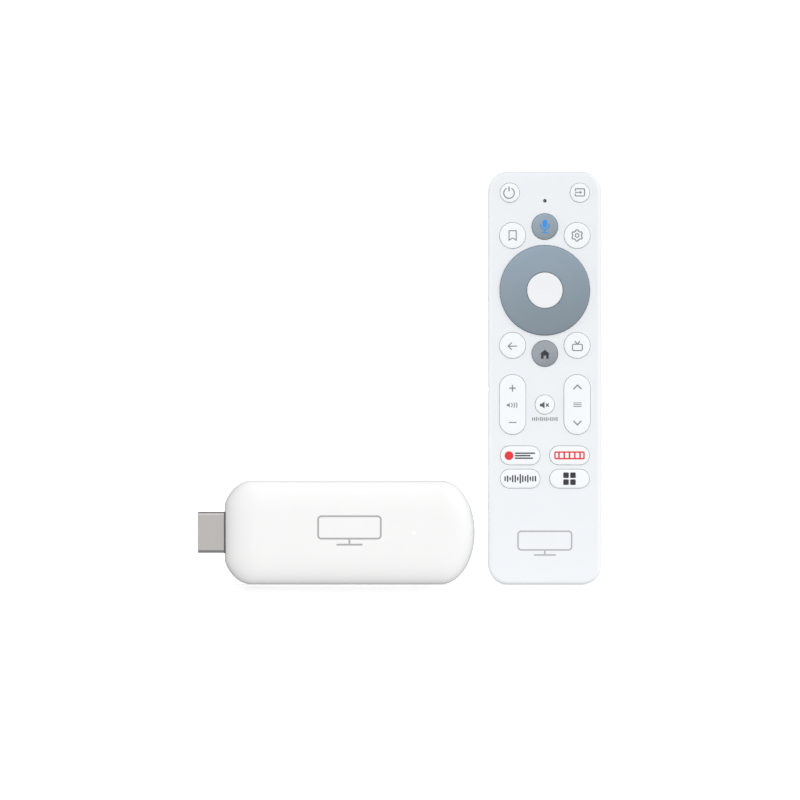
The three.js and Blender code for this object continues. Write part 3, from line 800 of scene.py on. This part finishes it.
# ------------------------------------------------------------------ the stick
PLUG = stick.box("video_plug_shell")
PLUG_WALL = 0.35
PLUG_CHAMFER = 1.5
PLUG_NOTCH = 0.42  # how deep the shells are let in round the plug's root
LED = stick.spot("light_pipe")
RESET = stick.box("reset_button")
RESET_MIDDLE = ((RESET.x0 + RESET.x1) / 2, 0, (RESET.z0 + RESET.z1) / 2)
SOCKET = stick.box("power_socket_shell")
SCREW_POSTS = [stick.spot("stick_board_screw_1"), stick.spot("stick_board_screw_2")]
POST = {"radius": 1.9, "hole": 0.9, "top": -0.7, "hole_foot": -3.8}
RESET_HOLE = 1.4
VENTS = {"rows": 5, "pitch": 3, "x": 42, "half": 7, "round": 0.55, "flare": 0.3}


def stick_ring(inset, flat, per_end=88):
    """The stick's outline moved in: two half ellipses, the left one cut by the flat plug face."""
    half = STICK_HALF - inset
    shrink = half / STICK_HALF
    soft = PLUG_FACE_ROUND + 0.25 * flat
    ring = []
    for i in range(per_end + 1):
        angle = 2 * QUARTER * i / per_end - QUARTER
        ring.append((STICK_LENGTH - FAR_END + FAR_END * shrink * math.cos(angle), half * math.sin(angle)))
    for i in range(per_end + 1):
        angle = 2 * QUARTER * i / per_end + QUARTER
        past = shrink * (PLUG_END - OVERSHOOT + PLUG_END * math.cos(angle))
        x = flat + (past + math.hypot(past, soft)) / 2
        ring.append((x, half * math.sin(angle)))
    return ring


def stick_body(inset, z0, z1, steps, seam=0.0):
    """The stick's body, moved in by inset, between two heights. The end at the seam is rounded."""
    front = STICK_FRONT.z1 - FRONT_EDGE["depth"]
    back = STICK_REAR.z0 + BACK_EDGE["depth"]

    def rolled(along, edge):
        return roll_in(along, edge["depth"] - inset, edge["width"] - inset, edge["power"])

    def ring_at(z, more=0.0):
        side = rolled(z - front, FRONT_EDGE) + rolled(back - z, BACK_EDGE)
        return stick_ring(inset + more + side, inset + more + rolled(z - front, PLUG_END_EDGE))

    heights = [-z for z in edge_heights(-back, BACK_EDGE["depth"] - inset, steps)]
    heights += [back, front, *edge_heights(front, FRONT_EDGE["depth"] - inset, steps)]
    return shell_form(z0, z1, heights, ring_at, seam)


def plug_section(inset):
    """The plug's section, as points along y and z: square at the front, chamfered at the back."""
    half = PLUG.y1 - inset
    deep = PLUG.z1 - inset
    chamfer = PLUG_CHAMFER - inset * 0.4
    corners = [(half, deep), (-half, deep), (-half, chamfer - deep), (chamfer - half, -deep)]
    corners += [(half - chamfer, -deep), (half, chamfer - deep)]
    return softened(corners, 0.42 - inset * 0.4)


def sleeve(section, x0, x1, wall):
    """An open tube along x with a rolled mouth at x0."""
    round_off = wall / 2
    steps = quarter_steps(4)
    rings = [(x1, 0)]
    rings += [(x0 + round_off * (1 - s), round_off * (1 - c)) for s, c in steps]
    rings += [(x0 + round_off * (1 - s), wall - round_off * (1 - c)) for s, c in reversed(steps[:-1])]
    rings += [(x1, wall)]
    return hoop([[(x, y, z) for y, z in section(inset)] for x, inset in rings])


def socket_section(inset):
    return round_ring(SOCKET.y1 - inset, SOCKET.z1 - inset, 0.6 - inset, per=6)


def stick_shells():
    front = stick_body(0, STICK_FRONT.z0, STICK_FRONT.z1, 22, SEAM_ROUND)
    hollow = stick_body(STICK_WALL, STICK_FRONT.z0 - 2, STICK_FRONT.z1 - STICK_WALL, 8)
    plug_hole = along_x(slab(plug_section(-0.25), -1, 4))
    socket_hole = along_x(slab(socket_section(-0.25), STICK_LENGTH - 4, STICK_LENGTH + 1))
    reset = flared(lambda grow: circle(RESET_HOLE + grow, steps=48), STICK_HALF, 6, 0.15)
    reset_hole = moved(along_y(reset), *RESET_MIDDLE)
    led_hole = flared(lambda grow: circle(LED.rx + 0.02 + grow, LED.x, LED.y, 40), STICK_FRONT.z1, 3, 0.04)
    front = cut(cut(front, hollow), plug_hole, socket_hole, reset_hole, led_hole)
    front = cut(front, block(-1, PLUG_NOTCH, -PLUG.y1 - 0.2, PLUG.y1 + 0.2, 0.3, STICK_FRONT.z1))
    stand_in("stick_front_shell", front, "stick", "stick_white")

    rear = stick_body(0, STICK_REAR.z0, STICK_REAR.z1, 18, -SEAM_ROUND)
    hollow = stick_body(STICK_WALL, STICK_REAR.z0 + STICK_WALL, STICK_REAR.z1 + 2, 8)
    rear = cut(cut(rear, hollow), plug_hole, socket_hole)
    for post in SCREW_POSTS:
        foot = STICK_REAR.z0 + STICK_WALL - 0.2
        rear = fused(rear, rod(POST["radius"], foot, POST["top"], post.x, post.y))
    rear = cut(rear, *[rod(POST["hole"], POST["hole_foot"], 1, post.x, post.y) for post in SCREW_POSTS])
    vents = []
    for row in range(VENTS["rows"]):
        def outline(grow, y=(row - VENTS["rows"] // 2) * VENTS["pitch"]):
            soft = VENTS["round"] + grow
            return round_ring(VENTS["half"] + grow, soft, soft, VENTS["x"], -y)

        vents.append(flipped(flared(outline, -STICK_REAR.z0, 2, VENTS["flare"])))
    rear = cut(rear, *vents)
    stand_in("stick_rear_shell", rear, "stick", "stick_white")


def video_plug():
    shell = sleeve(plug_section, PLUG.x0, PLUG.x1, PLUG_WALL)
    show("video_plug_sleeve", shell, "stick", "plug_steel", ["video_plug_shell"])
    # A dark collar of plastic round the plug's root, also made dark as painted shade in the joint.
    collar = []
    for x, inset in ((0.9, -0.03), (-0.2, -0.03), (-0.2, -0.08), (-0.15, -0.13), (0.9, -0.13)):
        collar.append([(x, y, z) for y, z in plug_section(inset)])
    seal_and_shade = MATERIALS["seal_and_shade_grey"]
    show("video_plug_collar", hoop(collar), "stick", "black_plastic", material=seal_and_shade)
    insert = stick.box("video_plug_insert")
    mouth = {"y": 5.6, "z0": -0.6, "z1": 1.2}
    gap = PLUG_WALL + 0.1
    levels = [(insert.x0 + 0.1 * (1 - s), plug_section(gap + 0.1 * (1 - c))) for s, c in quarter_steps(3)]
    body = along_x(loft(levels[::-1] + [(insert.x1, plug_section(gap))]))
    slot = block(insert.x0 - 1, -1, -mouth["y"], mouth["y"], mouth["z0"], mouth["z1"])
    stand_in("video_plug_insert", cut(body, slot), "stick", "black_plastic")
    pitch = 0.5
    half = 0.17
    contacts = []
    for k in range(-9, 10):
        upper = k % 2 == 1
        wall = mouth["z1"] if upper else mouth["z0"]
        reach = (wall - 0.16, wall + 0.1) if upper else (wall - 0.1, wall + 0.16)
        contacts.append(block(insert.x0 + 0.9, -1.2, k * pitch - half, k * pitch + half, *reach))
    show("video_plug_contacts", joined(*contacts), "stick", "gold_contact", edge=0.04)


def power_socket():
    wall = 0.3
    tongue = stick.box("power_socket_tongue")
    steps = quarter_steps(3)
    out = [(SOCKET.x0, 0)] + [(SOCKET.x1 - 0.1 * (1 - s), 0.1 * (1 - c)) for s, c in steps]
    back = [(SOCKET.x1 - 0.1 * (1 - s), wall - 0.1 * (1 - c)) for s, c in reversed(steps)]
    levels = [*out, *back, (SOCKET.x0 + 0.4, wall)]
    shell = along_x(loft([(x, socket_section(inset)) for x, inset in levels]))
    steel = MATERIALS["socket_steel"]
    show("power_socket_sleeve", shell, "stick", "plug_steel", ["power_socket_shell"], steel)
    bar_ring = round_ring(tongue.y1, (tongue.z1 - tongue.z0) / 2, 0.12, 0, (tongue.z0 + tongue.z1) / 2, 4)
    form = along_x(slab(bar_ring, tongue.x0, tongue.x1))
    stand_in("power_socket_tongue", form, "stick", "black_plastic")
    across = (tongue.x0 + 0.6, tongue.x1 - 0.5)
    deep = (tongue.z1 - 0.1, tongue.z1 + 0.04)
    pads = [block(*across, y - 0.18, y + 0.18, *deep) for y in ((k - 2) * 0.65 for k in range(5))]
    show("power_socket_contacts", joined(*pads), "stick", "gold_contact")


def small_stick_parts():
    box = stick.box("light_pipe")
    profile = [(LED.rx, box.z0), (LED.rx, box.z1 - 0.1), (0.52, box.z1 - 0.03), (0.3, box.z1)]
    pipe = turned(profile, LED.x, LED.y, 40)
    stand_in("light_pipe", pipe, "stick", "clear_plastic", MATERIALS["light_guide"])
    collar = 0.5
    radius = (RESET.x1 - RESET.x0) / 2 - collar
    top = RESET.y1
    profile = [(radius, RESET.y0), (radius, top - 2.35), (radius + collar, top - 2.35)]
    profile += [(radius + collar, top - 1.75), (radius, top - 1.75)]
    profile += [(radius - 0.3 * (1 - c), top - 0.05 - 0.3 * (1 - s)) for s, c in quarter_steps(5)]
    profile += [(radius - 0.6, top - 0.01), (0.15, top)]
    button = moved(along_y(turned(profile, steps=48)), *RESET_MIDDLE)
    stand_in("reset_button", button, "reset_button", "stick_white")


stick_shells()
video_plug()
power_socket()
small_stick_parts()

# ------------------------------------------------------------------ the remote
ROUND_KEYS = ["power_button", "input_button", "assistant_button", "bookmark_button", "settings_button"]
ROUND_KEYS += ["back_button", "home_button", "tv_button", "mute_button"]
ROCKERS = ["volume_rocker", "channel_rocker"]
APP_KEYS = [f"app_button_{k}" for k in range(1, 5)]
RING = remote.spot("dpad_ring", FLANGE)
COVER = remote.box("battery_cover")
MICROPHONE = remote.spot("microphone")
MIC_HOLE = 0.6
WINDOW = remote.box("infrared_window")
BOARD_SCREWS = [remote.spot("remote_board_screw_1"), remote.spot("remote_board_screw_2")]
COVER_LIP = -7.75  # the cover's inner face
COVER_CORNER = 3
WINDOW_HALF = 6
WINDOW_DEPTH = 1.7
GROOVES = {"rows": 4, "up": 22, "pitch": 1.4, "half": 4.5, "taper": 0.5, "round": 0.2, "depth": 0.35}
RING_HOLLOW = {"inner": 7.4, "outer": 14, "z": 7.6}  # the room under the ring for its pivot frame
SCREW_BOSS = {"radius": 1.6, "z0": 4.8}
SCREW_HOLE = {"radius": 0.8, "z0": 4, "z1": 6.7}
BAY = {"half": 11.4, "y0": 16, "y1": 66.7, "floor": 3.2, "wall": 0.9}


def remote_body(inset, z0, z1, steps, seam=0.0):
    """The remote's body, moved in by inset, between two heights. The end at the seam is rounded."""
    top = REMOTE_FRONT.z1 - FRONT_ROLL
    front_roll = max(0.2, FRONT_ROLL - inset)
    side_start = REMOTE_REAR.z0 + SIDE_ROLL
    end_start = REMOTE_REAR.z0 + END_ROLL

    def ring_at(z, more=0.0):
        front = roll_in(z - top, front_roll, front_roll)
        in_x = inset + more + front + roll_in(side_start - z, SIDE_ROLL - inset, SIDE_ROLL - inset)
        in_y = inset + more + front + roll_in(end_start - z, END_ROLL - inset, END_ROLL - inset)
        corner = max(1.5, REMOTE_CORNER - (in_x + in_y) / 2)
        return round_ring(REMOTE_HALF - in_x, REMOTE_LENGTH / 2 - in_y, corner, 0, REMOTE_LENGTH / 2, 20)

    heights = [-z for z in edge_heights(-side_start, SIDE_ROLL - inset, steps + 6)]
    heights += [side_start, end_start, top, *edge_heights(top, front_roll, steps)]
    return shell_form(z0, z1, heights, ring_at, seam)


def key_outline(node):
    """A function giving a key's outline, moved out by grow."""
    spot = remote.spot(node, FLANGE)
    if node in ROUND_KEYS:
        return lambda grow: circle(spot.rx + grow, spot.x, spot.y, 96)
    corner = min(spot.rx, spot.ry)
    return lambda grow: round_ring(spot.rx + grow, spot.ry + grow, corner + grow, spot.x, spot.y, 20)


def grown(outline, more):
    return lambda grow: outline(grow + more)


def remote_front_shell():
    face = REMOTE_FRONT.z1
    shell = remote_body(0, REMOTE_FRONT.z0, face, 14, SEAM_ROUND)
    shell = cut(shell, remote_body(REMOTE_WALL, REMOTE_FRONT.z0 - 1, face - KEY_PLATE, 6))
    outlines = [key_outline(node) for node in ROUND_KEYS + ROCKERS + APP_KEYS]
    outlines.append(lambda grow: circle(RING.rx + grow, RING.x, RING.y, 160))
    holes = [flared(grown(outline, KEY_GAP), face, KEY_PLATE + 1, HOLE_ROUND) for outline in outlines]
    holes.append(flared(lambda grow: circle(MIC_HOLE + grow, MICROPHONE.x, MICROPHONE.y, 40), face, 3, 0.06))
    shell = cut(shell, *holes)
    for screw in BOARD_SCREWS:
        boss = rod(SCREW_BOSS["radius"], SCREW_BOSS["z0"], face - KEY_PLATE + 0.2, screw.x, screw.y)
        shell = fused(shell, boss)
    hole = SCREW_HOLE
    holes = [rod(hole["radius"], hole["z0"], hole["z1"], screw.x, screw.y) for screw in BOARD_SCREWS]
    shell = cut(shell, *holes)
    stand_in("remote_front_shell", shell, "remote", "remote_white")


def microphone_gasket():
    """A black rubber tube that leads the sound from the hole down to the microphone."""
    outer = MIC_HOLE - 0.02
    top = REMOTE_FRONT.z1 - 0.1
    bottom = remote.box("microphone").z1 + 0.05
    profile = [(outer, bottom), (outer, top - 0.08), (outer - 0.08, top), (0.42, top), (0.34, top - 0.08)]
    profile += [(0.34, bottom)]
    tube = turned_ring(profile, MICROPHONE.x, MICROPHONE.y, 40)
    show("microphone_gasket", tube, "remote", "silicone", material=MATERIALS["black_rubber"])


def cover_prism(grow, z0, z1):
    half_y = (COVER.y1 - COVER.y0) / 2 + grow
    middle = (COVER.y0 + COVER.y1) / 2
    return slab(round_ring(COVER.x1 + grow, half_y, COVER_CORNER + grow, 0, middle, 10), z0, z1)


def window_prism(grow):
    half = WINDOW_HALF + grow
    low = REMOTE_LENGTH - WINDOW_DEPTH - 5 * grow
    return block(-half, half, low, REMOTE_LENGTH + 1, WINDOW.z0 - grow, WINDOW.z1 + grow)


def remote_rear_shell():
    back = REMOTE_REAR.z0
    top = REMOTE_FRONT.z0 - SEAM_GAP
    ledge = COVER_LIP + 0.2
    bay = BAY["half"] + BAY["wall"]
    shell = remote_body(0, back, top, 14, -SEAM_ROUND)
    shell = cut(shell, remote_body(REMOTE_WALL, back + REMOTE_WALL, top + 1, 6))
    walls = block(-bay, bay, BAY["y0"] - BAY["wall"], BAY["y1"] + BAY["wall"], ledge, BAY["floor"] + 0.5)
    shell = fused(shell, cover_prism(1, ledge, ledge + 1), walls)
    shell = cut(shell, block(-BAY["half"], BAY["half"], BAY["y0"], BAY["y1"], back - 1, BAY["floor"]))
    shell = cut(shell, cover_prism(0.25, back - 1, ledge), window_prism(0.2))
    stand_in("remote_rear_shell", shell, "remote", "remote_white")


def remote_back_parts():
    back = REMOTE_REAR.z0
    outer = remote_body(0, back, REMOTE_FRONT.z0, 14)
    cover = shared(outer, cover_prism(0, back - 1, COVER_LIP))
    middle = (COVER.y0 + COVER.y1) / 2
    grooves = []
    for row in range(GROOVES["rows"]):
        def outline(grow, row=row):
            half = GROOVES["half"] - GROOVES["taper"] * row
            soft = GROOVES["round"] + grow
            return round_ring(half + grow, soft, soft, 0, -(middle + GROOVES["up"] + GROOVES["pitch"] * row))

        grooves.append(flipped(flared(outline, -back, GROOVES["depth"], 0.12)))
    cover = cut(cover, *grooves)
    stand_in("battery_cover", cover, "battery_cover", "remote_white")
    window = shared(outer, window_prism(0))
    stand_in("infrared_window", window, "remote", "infrared_window")


def key_form(outline, flange_top, edge=0.3, sag=0.1, crown=1.1):
    """A key with a flat middle, a softly crowned border, a rounded edge and a hidden rim."""
    levels = [(KEY_BOTTOM, outline(FLANGE)), (flange_top, outline(FLANGE)), (flange_top, outline(0))]
    for sine, cosine in quarter_steps(6):
        levels.append((KEY_TOP - sag - edge + edge * sine, outline(-edge * (1 - cosine))))
    for k in range(1, 7):
        rise = math.sin(QUARTER * k / 6)
        levels.append((KEY_TOP - sag + sag * rise, outline(-edge - crown * k / 6)))
    return loft(levels)


def keys():
    greys = {key + "_button": MATERIALS[key + "_grey"] for key in ("assistant", "home")}
    for node in ROUND_KEYS + ROCKERS + APP_KEYS:
        form = key_form(key_outline(node), ROCK_FLANGE_TOP if node in ROCKERS else FLANGE_TOP)
        stand_in(node, form, node, "key_grey" if node in greys else "key_white", greys.get(node))


def direction_pad():
    """The ring, dished between a raised outer lip and its inner edge, and the OK button in it."""
    outer = RING.rx
    ok = remote.spot("ok_button")
    inner = ok.rx + KEY_GAP
    lip = 0.4
    slope = 5.0  # how far in the dish's outer slope reaches
    dish = 0.35
    rounded = 0.35  # the ring's inner edge and the OK button's rim
    under = RING_HOLLOW
    profile = [(under["outer"], under["z"]), (under["outer"], KEY_BOTTOM), (outer + FLANGE, KEY_BOTTOM)]
    profile += [(outer + FLANGE, ROCK_FLANGE_TOP), (outer, ROCK_FLANGE_TOP)]
    top = remote.box("dpad_ring").z1
    profile += [(outer - lip * (1 - c), top - lip + lip * s) for s, c in quarter_steps(6)]
    ease = 12
    for k in range(1, ease + 1):
        t = k / ease
        profile.append((outer - lip - slope * t, top - dish * (1 - math.cos(math.pi * t)) / 2))
    profile += [(8.0, top - 0.34), (inner + rounded, top - 0.3)]
    profile += [(inner + rounded * (1 - s), top - 0.3 - rounded * (1 - c)) for s, c in quarter_steps(5)[1:]]
    profile += [(inner, KEY_BOTTOM), (under["inner"], KEY_BOTTOM), (under["inner"], under["z"])]
    ring = turned_ring(profile, RING.x, RING.y)
    stand_in("dpad_ring", ring, "dpad_ring", "key_grey")
    rim = remote.box("ok_button").z1
    points = [(ok.rx, KEY_BOTTOM)]
    points += [(ok.rx - rounded * (1 - c), rim - rounded + rounded * s) for s, c in quarter_steps(6)]
    for k in range(1, 10):
        t = k / 9
        points.append((ok.rx - rounded - (ok.rx - 0.75) * t, rim - 0.2 * (1 - math.cos(math.pi * t)) / 2))
    button = turned(points, ok.x, ok.y, 96)
    stand_in("ok_button", button, "ok_button", "key_white", MATERIALS["ok_white"])


remote_front_shell()
microphone_gasket()
remote_rear_shell()
remote_back_parts()
keys()
direction_pad()

# ------------------------------------------------------------------ marks on the keys and faces
def mark_key(node, forms, slot="print_grey", up=0.0, name=None, across=0.0, material=None):
    spot = remote.spot(node)
    name = name or node + "_mark"
    print_mark(name, forms, node, slot, spot.x + across, spot.y + up, KEY_TOP, material)


def key_marks():
    mark_key("power_button", power_mark(), across=-0.28, up=-0.13)
    mark_key("input_button", input_mark(), up=0.1)
    mark_key("bookmark_button", bookmark_mark())
    mark_key("settings_button", gear_mark())
    mark_key("back_button", back_mark(), up=-0.27)
    mark_key("tv_button", television_mark(), up=-0.2, across=0.1)
    mark_key("home_button", home_mark(), "print_dark", up=-0.3)
    mark_key("mute_button", mute_mark(), up=-0.17, across=-0.15, material=MATERIALS["print_charcoal"])
    mark_key("assistant_button", microphone_mark(), "print_blue")
    mark_key("volume_rocker", volume_mark(), up=-0.2)
    mark_key("volume_rocker", plus_mark(), up=5.6, across=-0.06, name="volume_up_mark")
    mark_key("volume_rocker", minus_mark(), up=-6.1, name="volume_down_mark")
    mark_key("channel_rocker", channel_mark(), up=-0.06, across=0.13)
    mark_key("channel_rocker", chevron_mark(1), up=6.0, across=0.13, name="channel_up_mark")
    mark_key("channel_rocker", chevron_mark(-1), up=-6.3, across=0.1, name="channel_down_mark")
    mark_key("app_button_1", [disc(1.5)], "print_red", across=-3.85, up=-0.1, name="app_1_disc")
    mark_key("app_button_1", list_mark(), "print_dark", across=1.6, up=-0.1, name="app_1_list")
    mark_key("app_button_2", film_mark(), "print_red")
    mark_key("app_button_3", sound_mark(), "print_dark")
    mark_key("app_button_4", grid_mark(), "print_dark")


def face_marks():
    pale = MATERIALS["print_pale"]
    face = REMOTE_FRONT.z1
    print_mark("mute_label", label_mark(), "remote", "print_grey", 0, 56.55, face)
    motif = screen_on_stand(18.8, 8.6, 0.5)
    print_mark("remote_motif", motif, "remote", "print_grey", 0, 14.2, face, pale)
    motif = screen_on_stand(22, 10.3, 0.6)
    print_mark("stick_motif", motif, "stick", "print_grey", STICK_LENGTH / 2, 0.8, STICK_FRONT.z1, pale)


key_marks()
face_marks()

# ------------------------------------------------------------------ the battery bay and the inner parts
CELL_Z = -2.25


def cell_form():
    """A AAA cell standing on its flat end: crimped steel ends and a sleeve over the can."""
    radius = 5.25
    length = 43.3
    nub = 1.9
    profile = [(0.4, 0.15), (3.4, 0.15), (3.7, 0), (4.6, 0), (4.95, 0.12), (5.1, 0.4), (5.1, 0.9)]
    profile += [(radius, 1.05), (radius, length - 1.2), (5.05, length - 1.0), (4.95, length - 0.5)]
    profile += [(4.6, length - 0.15), (4.2, length - 0.05), (3.9, length - 0.3), (2.7, length - 0.3)]
    profile += [(nub, length - 0.2), (nub, length + 0.95), (nub - 0.25, length + 1.2), (0.3, length + 1.2)]
    return turned(profile, steps=96)


def upright(form):
    """Stands a form that was turned about z along the device's y instead."""
    return placed(form, lambda a, b, c: (a, c, -b))


def cells():
    for node, nub_up in (("battery_left", True), ("battery_right", False)):
        b = remote.box(node)
        ends = (b.y0, b.y1) if nub_up else (b.y1, b.y0)
        form = upright(cell_form())
        if not nub_up:
            form = placed(form, lambda x, y, z: (-x, -y, z))
        form = moved(form, (b.x0 + b.x1) / 2, ends[0], CELL_Z)
        skin = battery_sleeve(node + "_sleeve", ends[0], ends[1])
        stand_in(node, form, "remote", "battery_case", skin)


def coil(x, y0, y1):
    """A conical spring whose last turn lies flat, along y from y0 to y1."""
    turns = 4
    steps = 40 * turns
    wire = 0.3
    rings = []
    for k in range(steps + 1):
        t = k / steps
        angle = 2 * math.pi * turns * t
        rise = min(max((t - 0.12) / 0.76, 0), 1)
        radius = 3.0 - 0.9 * t
        outward = Vector((math.cos(angle), 0, math.sin(angle)))
        centre = Vector((x, y0 + (y1 - y0) * rise, CELL_Z)) + outward * radius
        ring = []
        for j in range(12):
            turn = 2 * math.pi * j / 12
            spot = centre + outward * wire * math.cos(turn) + Vector((0, wire * math.sin(turn), 0))
            ring.append(tuple(spot))
        rings.append(ring)
    verts, faces = hoop(rings)
    faces = faces[:-12]
    faces += [tuple(range(12))[::-1], tuple(range(12 * steps, 12 * steps + 12))]
    return verts, faces


def contact_plate(x0, x1, y0, y1):
    ring = round_ring((x1 - x0) / 2, 3.8, 0.8, (x0 + x1) / 2, 2.2, 6)
    return upright(slab(ring, y0, y1))


def battery_contacts():
    ends = ("bridge", "negative", "positive")
    bridge, negative, positive = (remote.box(f"battery_{end}_contact") for end in ends)
    left, right = remote.box("battery_left"), remote.box("battery_right")
    thick = 0.35
    rise = thick + 0.32  # from a contact's back to its spring's first turn
    low = joined(
        contact_plate(bridge.x0, bridge.x1, bridge.y0, bridge.y0 + thick),
        coil((left.x0 + left.x1) / 2, bridge.y0 + rise, left.y0 - 0.4),
    )
    high = joined(
        contact_plate(negative.x0, negative.x1, negative.y1 - thick, negative.y1),
        coil((right.x0 + right.x1) / 2, negative.y1 - rise, right.y1 + 0.4),
    )
    plus = contact_plate(positive.x0, positive.x1, positive.y0, positive.y1)
    show("battery_bridge_spring", low, "remote", "nickel", ["battery_bridge_contact"])
    show("battery_negative_spring", high, "remote", "nickel", ["battery_negative_contact"])
    show("battery_positive_plate", plus, "remote", "nickel", ["battery_positive_contact"])


CARRIED = {
    "black_plastic": ["dpad_pivot_frame"],
    "circuit_board": ["stick_circuit_board", "remote_circuit_board"],
    "tinplate": ["shield_can", "wireless_module", "microphone", "remote_radio_module"],
    "chip_black": ["processor", "memory_chip", "storage_chip", "reset_switch"],
    "thermal_pad": ["thermal_pad"],
    "aluminium": ["heat_spreader"],
    "nickel": ["stick_antenna", "stick_board_screw_1", "stick_board_screw_2"]
    + ["remote_board_screw_1", "remote_board_screw_2"],
    "clear_plastic": ["status_led", "infrared_led"],
    "silicone": ["keypad_membrane"],
}


def finish_carried_nodes():
    """Gives the CAD nodes that stay their finishes."""
    for slot, nodes in CARRIED.items():
        for node in nodes:
            materials = frame["nodes"][node].data.materials
            materials.clear()
            materials.append(MATERIALS[slot])


cells()
battery_contacts()
finish_carried_nodes()

# ------------------------------------------------------------------ floor, light and camera
WHITE = (1, 1, 1, 1)
FLOOR_GLOW = 0.535
# How much of the glow is left out in the painted soft shadow before the stick, as (millimetres, amount)
PAINTED_SHADOW_ACROSS = [(-65, 0), (-59, 0.5), (-50, 1), (8, 1), (26, 0)]
PAINTED_SHADOW_BEFORE = [(-150, 0), (-110, 0.21), (-75, 0.24), (-50, 0.28), (-20, 0.38), (-12, 0.25)]
PAINTED_SHADOW_BEFORE += [(-4, 0.22), (0, 0)]
BRIGHT_SIDE = Vector((0.43, -0.79, 0.43))
BACK_OF_ROOM = -0.554  # how far round from the bright side the room is darkest, as a cosine
BACKDROP = 1.2
EYE_HEIGHT = 0.06305
EYE_DISTANCE = 2.284


def faded(look, axis, points):
    """A value that runs through (millimetres, value) points along an axis."""
    start, end = points[0][0], points[-1][0]
    stops = [((mm - start) / (end - start), (value, value, value)) for mm, value in points]
    return look.ramp(look.ranged(look.along(axis), 0, 1, start * MM, end * MM), stops)


def studio_floor():
    """A plain white floor with a painted soft shadow before the stick, white elsewhere unless something
    shades it.
    """
    reach = 6.0
    corners = [(x * reach, y * reach, 0) for x, y in ((-1, -1), (1, -1), (1, 1), (-1, 1))]
    floor = linked("studio_floor", mesh_of((corners, [(0, 1, 2, 3)]), "studio_floor"))
    floor.location.z = -0.0002
    look = new_look("studio_floor")
    factors = {0: faded(look, "X", PAINTED_SHADOW_ACROSS), 1: faded(look, "Y", PAINTED_SHADOW_BEFORE)}
    # The painted soft shadow: less glow before the stick, set by position alone.
    shade = look.node("Math", factors, operation="MULTIPLY")[0]
    glow = look.node("Math", {0: FLOOR_GLOW, 1: shade}, operation="SUBTRACT")[0]
    colour = look.ramp(look.noise(40, 2), [(0.3, (0.80, 0.80, 0.80)), (0.7, (0.82, 0.82, 0.82))])
    look.finished(colour, 0.9, Specular_IOR_Level=0.0, Emission_Color=WHITE, Emission_Strength=glow)
    floor.data.materials.append(look.owner)
    floor.visible_diffuse = False
    floor.visible_glossy = False
    floor.visible_shadow = False
    return floor


def studio_sky():
    """White all round for the camera. For the light, a room that is brightest in front of the devices,
    above them and to their right."""
    world = bpy.data.worlds.new("studio")
    bpy.context.scene.world = world
    world.use_nodes = True
    world.node_tree.nodes.clear()
    look = Look(world, "Generated")
    towards = look.node("VectorMath", {0: look.place, 1: BRIGHT_SIDE}, operation="DOT_PRODUCT")["Value"]
    strength = look.ranged(towards, 0.08, 1.42, BACK_OF_ROOM, 1)
    room, backdrop = (
        look.node("Background", {"Color": WHITE, "Strength": value})[0] for value in (strength, BACKDROP)
    )
    seen = look.node("LightPath")["Is Camera Ray"]
    look.node("OutputWorld", {"Surface": look.node("MixShader", {"Fac": seen, 1: room, 2: backdrop})[0]})


def turned_to(way):
    """The rotation of a lamp that shines along a way."""
    return way.to_track_quat("-Z", "Y").to_euler()


def group_of(name, members):
    group = bpy.data.collections.new(name)
    for member in members:
        group.objects.link(member)
    return group


def soft_light(name, direction, size, strength, receivers, distance=0.6, aim=(0, 0, 0.06)):
    """A soft round light that falls only on the receivers. The strength is what it adds to a white face."""
    light = bpy.data.lights.new(name, "AREA")
    light.shape = "DISK"
    light.size = size
    light.energy = strength * (math.pi * distance) ** 2
    lamp = linked(name, light)
    way = Vector(direction).normalized()
    lamp.location = Vector(aim) + way * distance
    lamp.rotation_euler = turned_to(-way)
    lamp.light_linking.receiver_collection = group_of(name + "_receivers", receivers)
    lamp.visible_glossy = False


def floor_sun():
    """A low soft sun from behind, on the floor alone, so that the stick's shadow falls towards the camera."""
    light = bpy.data.lights.new("floor_sun", "SUN")
    light.energy = 1.3
    light.angle = math.radians(16)
    sun = linked("floor_sun", light)
    sun.rotation_euler = turned_to(Vector((0, -0.95, -0.3)))
    sun.light_linking.receiver_collection = group_of("floor_sun_receiver", [floor])
    sun.light_linking.blocker_collection = group_of("floor_sun_blocker", on_stick)


def camera():
    data = bpy.data.cameras.new("camera")
    data.lens = 300
    data.sensor_width = 36
    data.clip_end = 50
    view = linked("camera", data)
    view.location = (0.00026, -EYE_DISTANCE, EYE_HEIGHT)
    view.rotation_euler = (QUARTER, 0, 0)
    bpy.context.scene.camera = view


floor = studio_floor()
studio_sky()
on_stick, on_remote = [], []
for piece in list(bpy.context.scene.objects):
    if piece.type == "MESH" and piece != floor:
        (on_stick if body_of(piece)[0] in ("stick", "reset_button") else on_remote).append(piece)
soft_light("back_light", (0, 1, 0), 0.15, 0.75, [*on_stick, *on_remote])
soft_light("stick_right_light", (0.8, -0.05, 0.6), 0.3, 0.14, on_stick)
soft_light("remote_left_light", (-1, -0.05, 0), 0.3, 0.6, on_remote)
soft_light("remote_right_light", (1, -0.05, -0.3), 0.3, 0.12, on_remote)
remote_foot = (remote.x * MM, -0.008, 0)
soft_light("remote_low_light", (0, -0.5, -0.86), 0.1, 0.15, on_remote, 0.12, remote_foot)
floor_sun()
camera()
bpy.context.scene.view_settings.view_transform = "Standard"
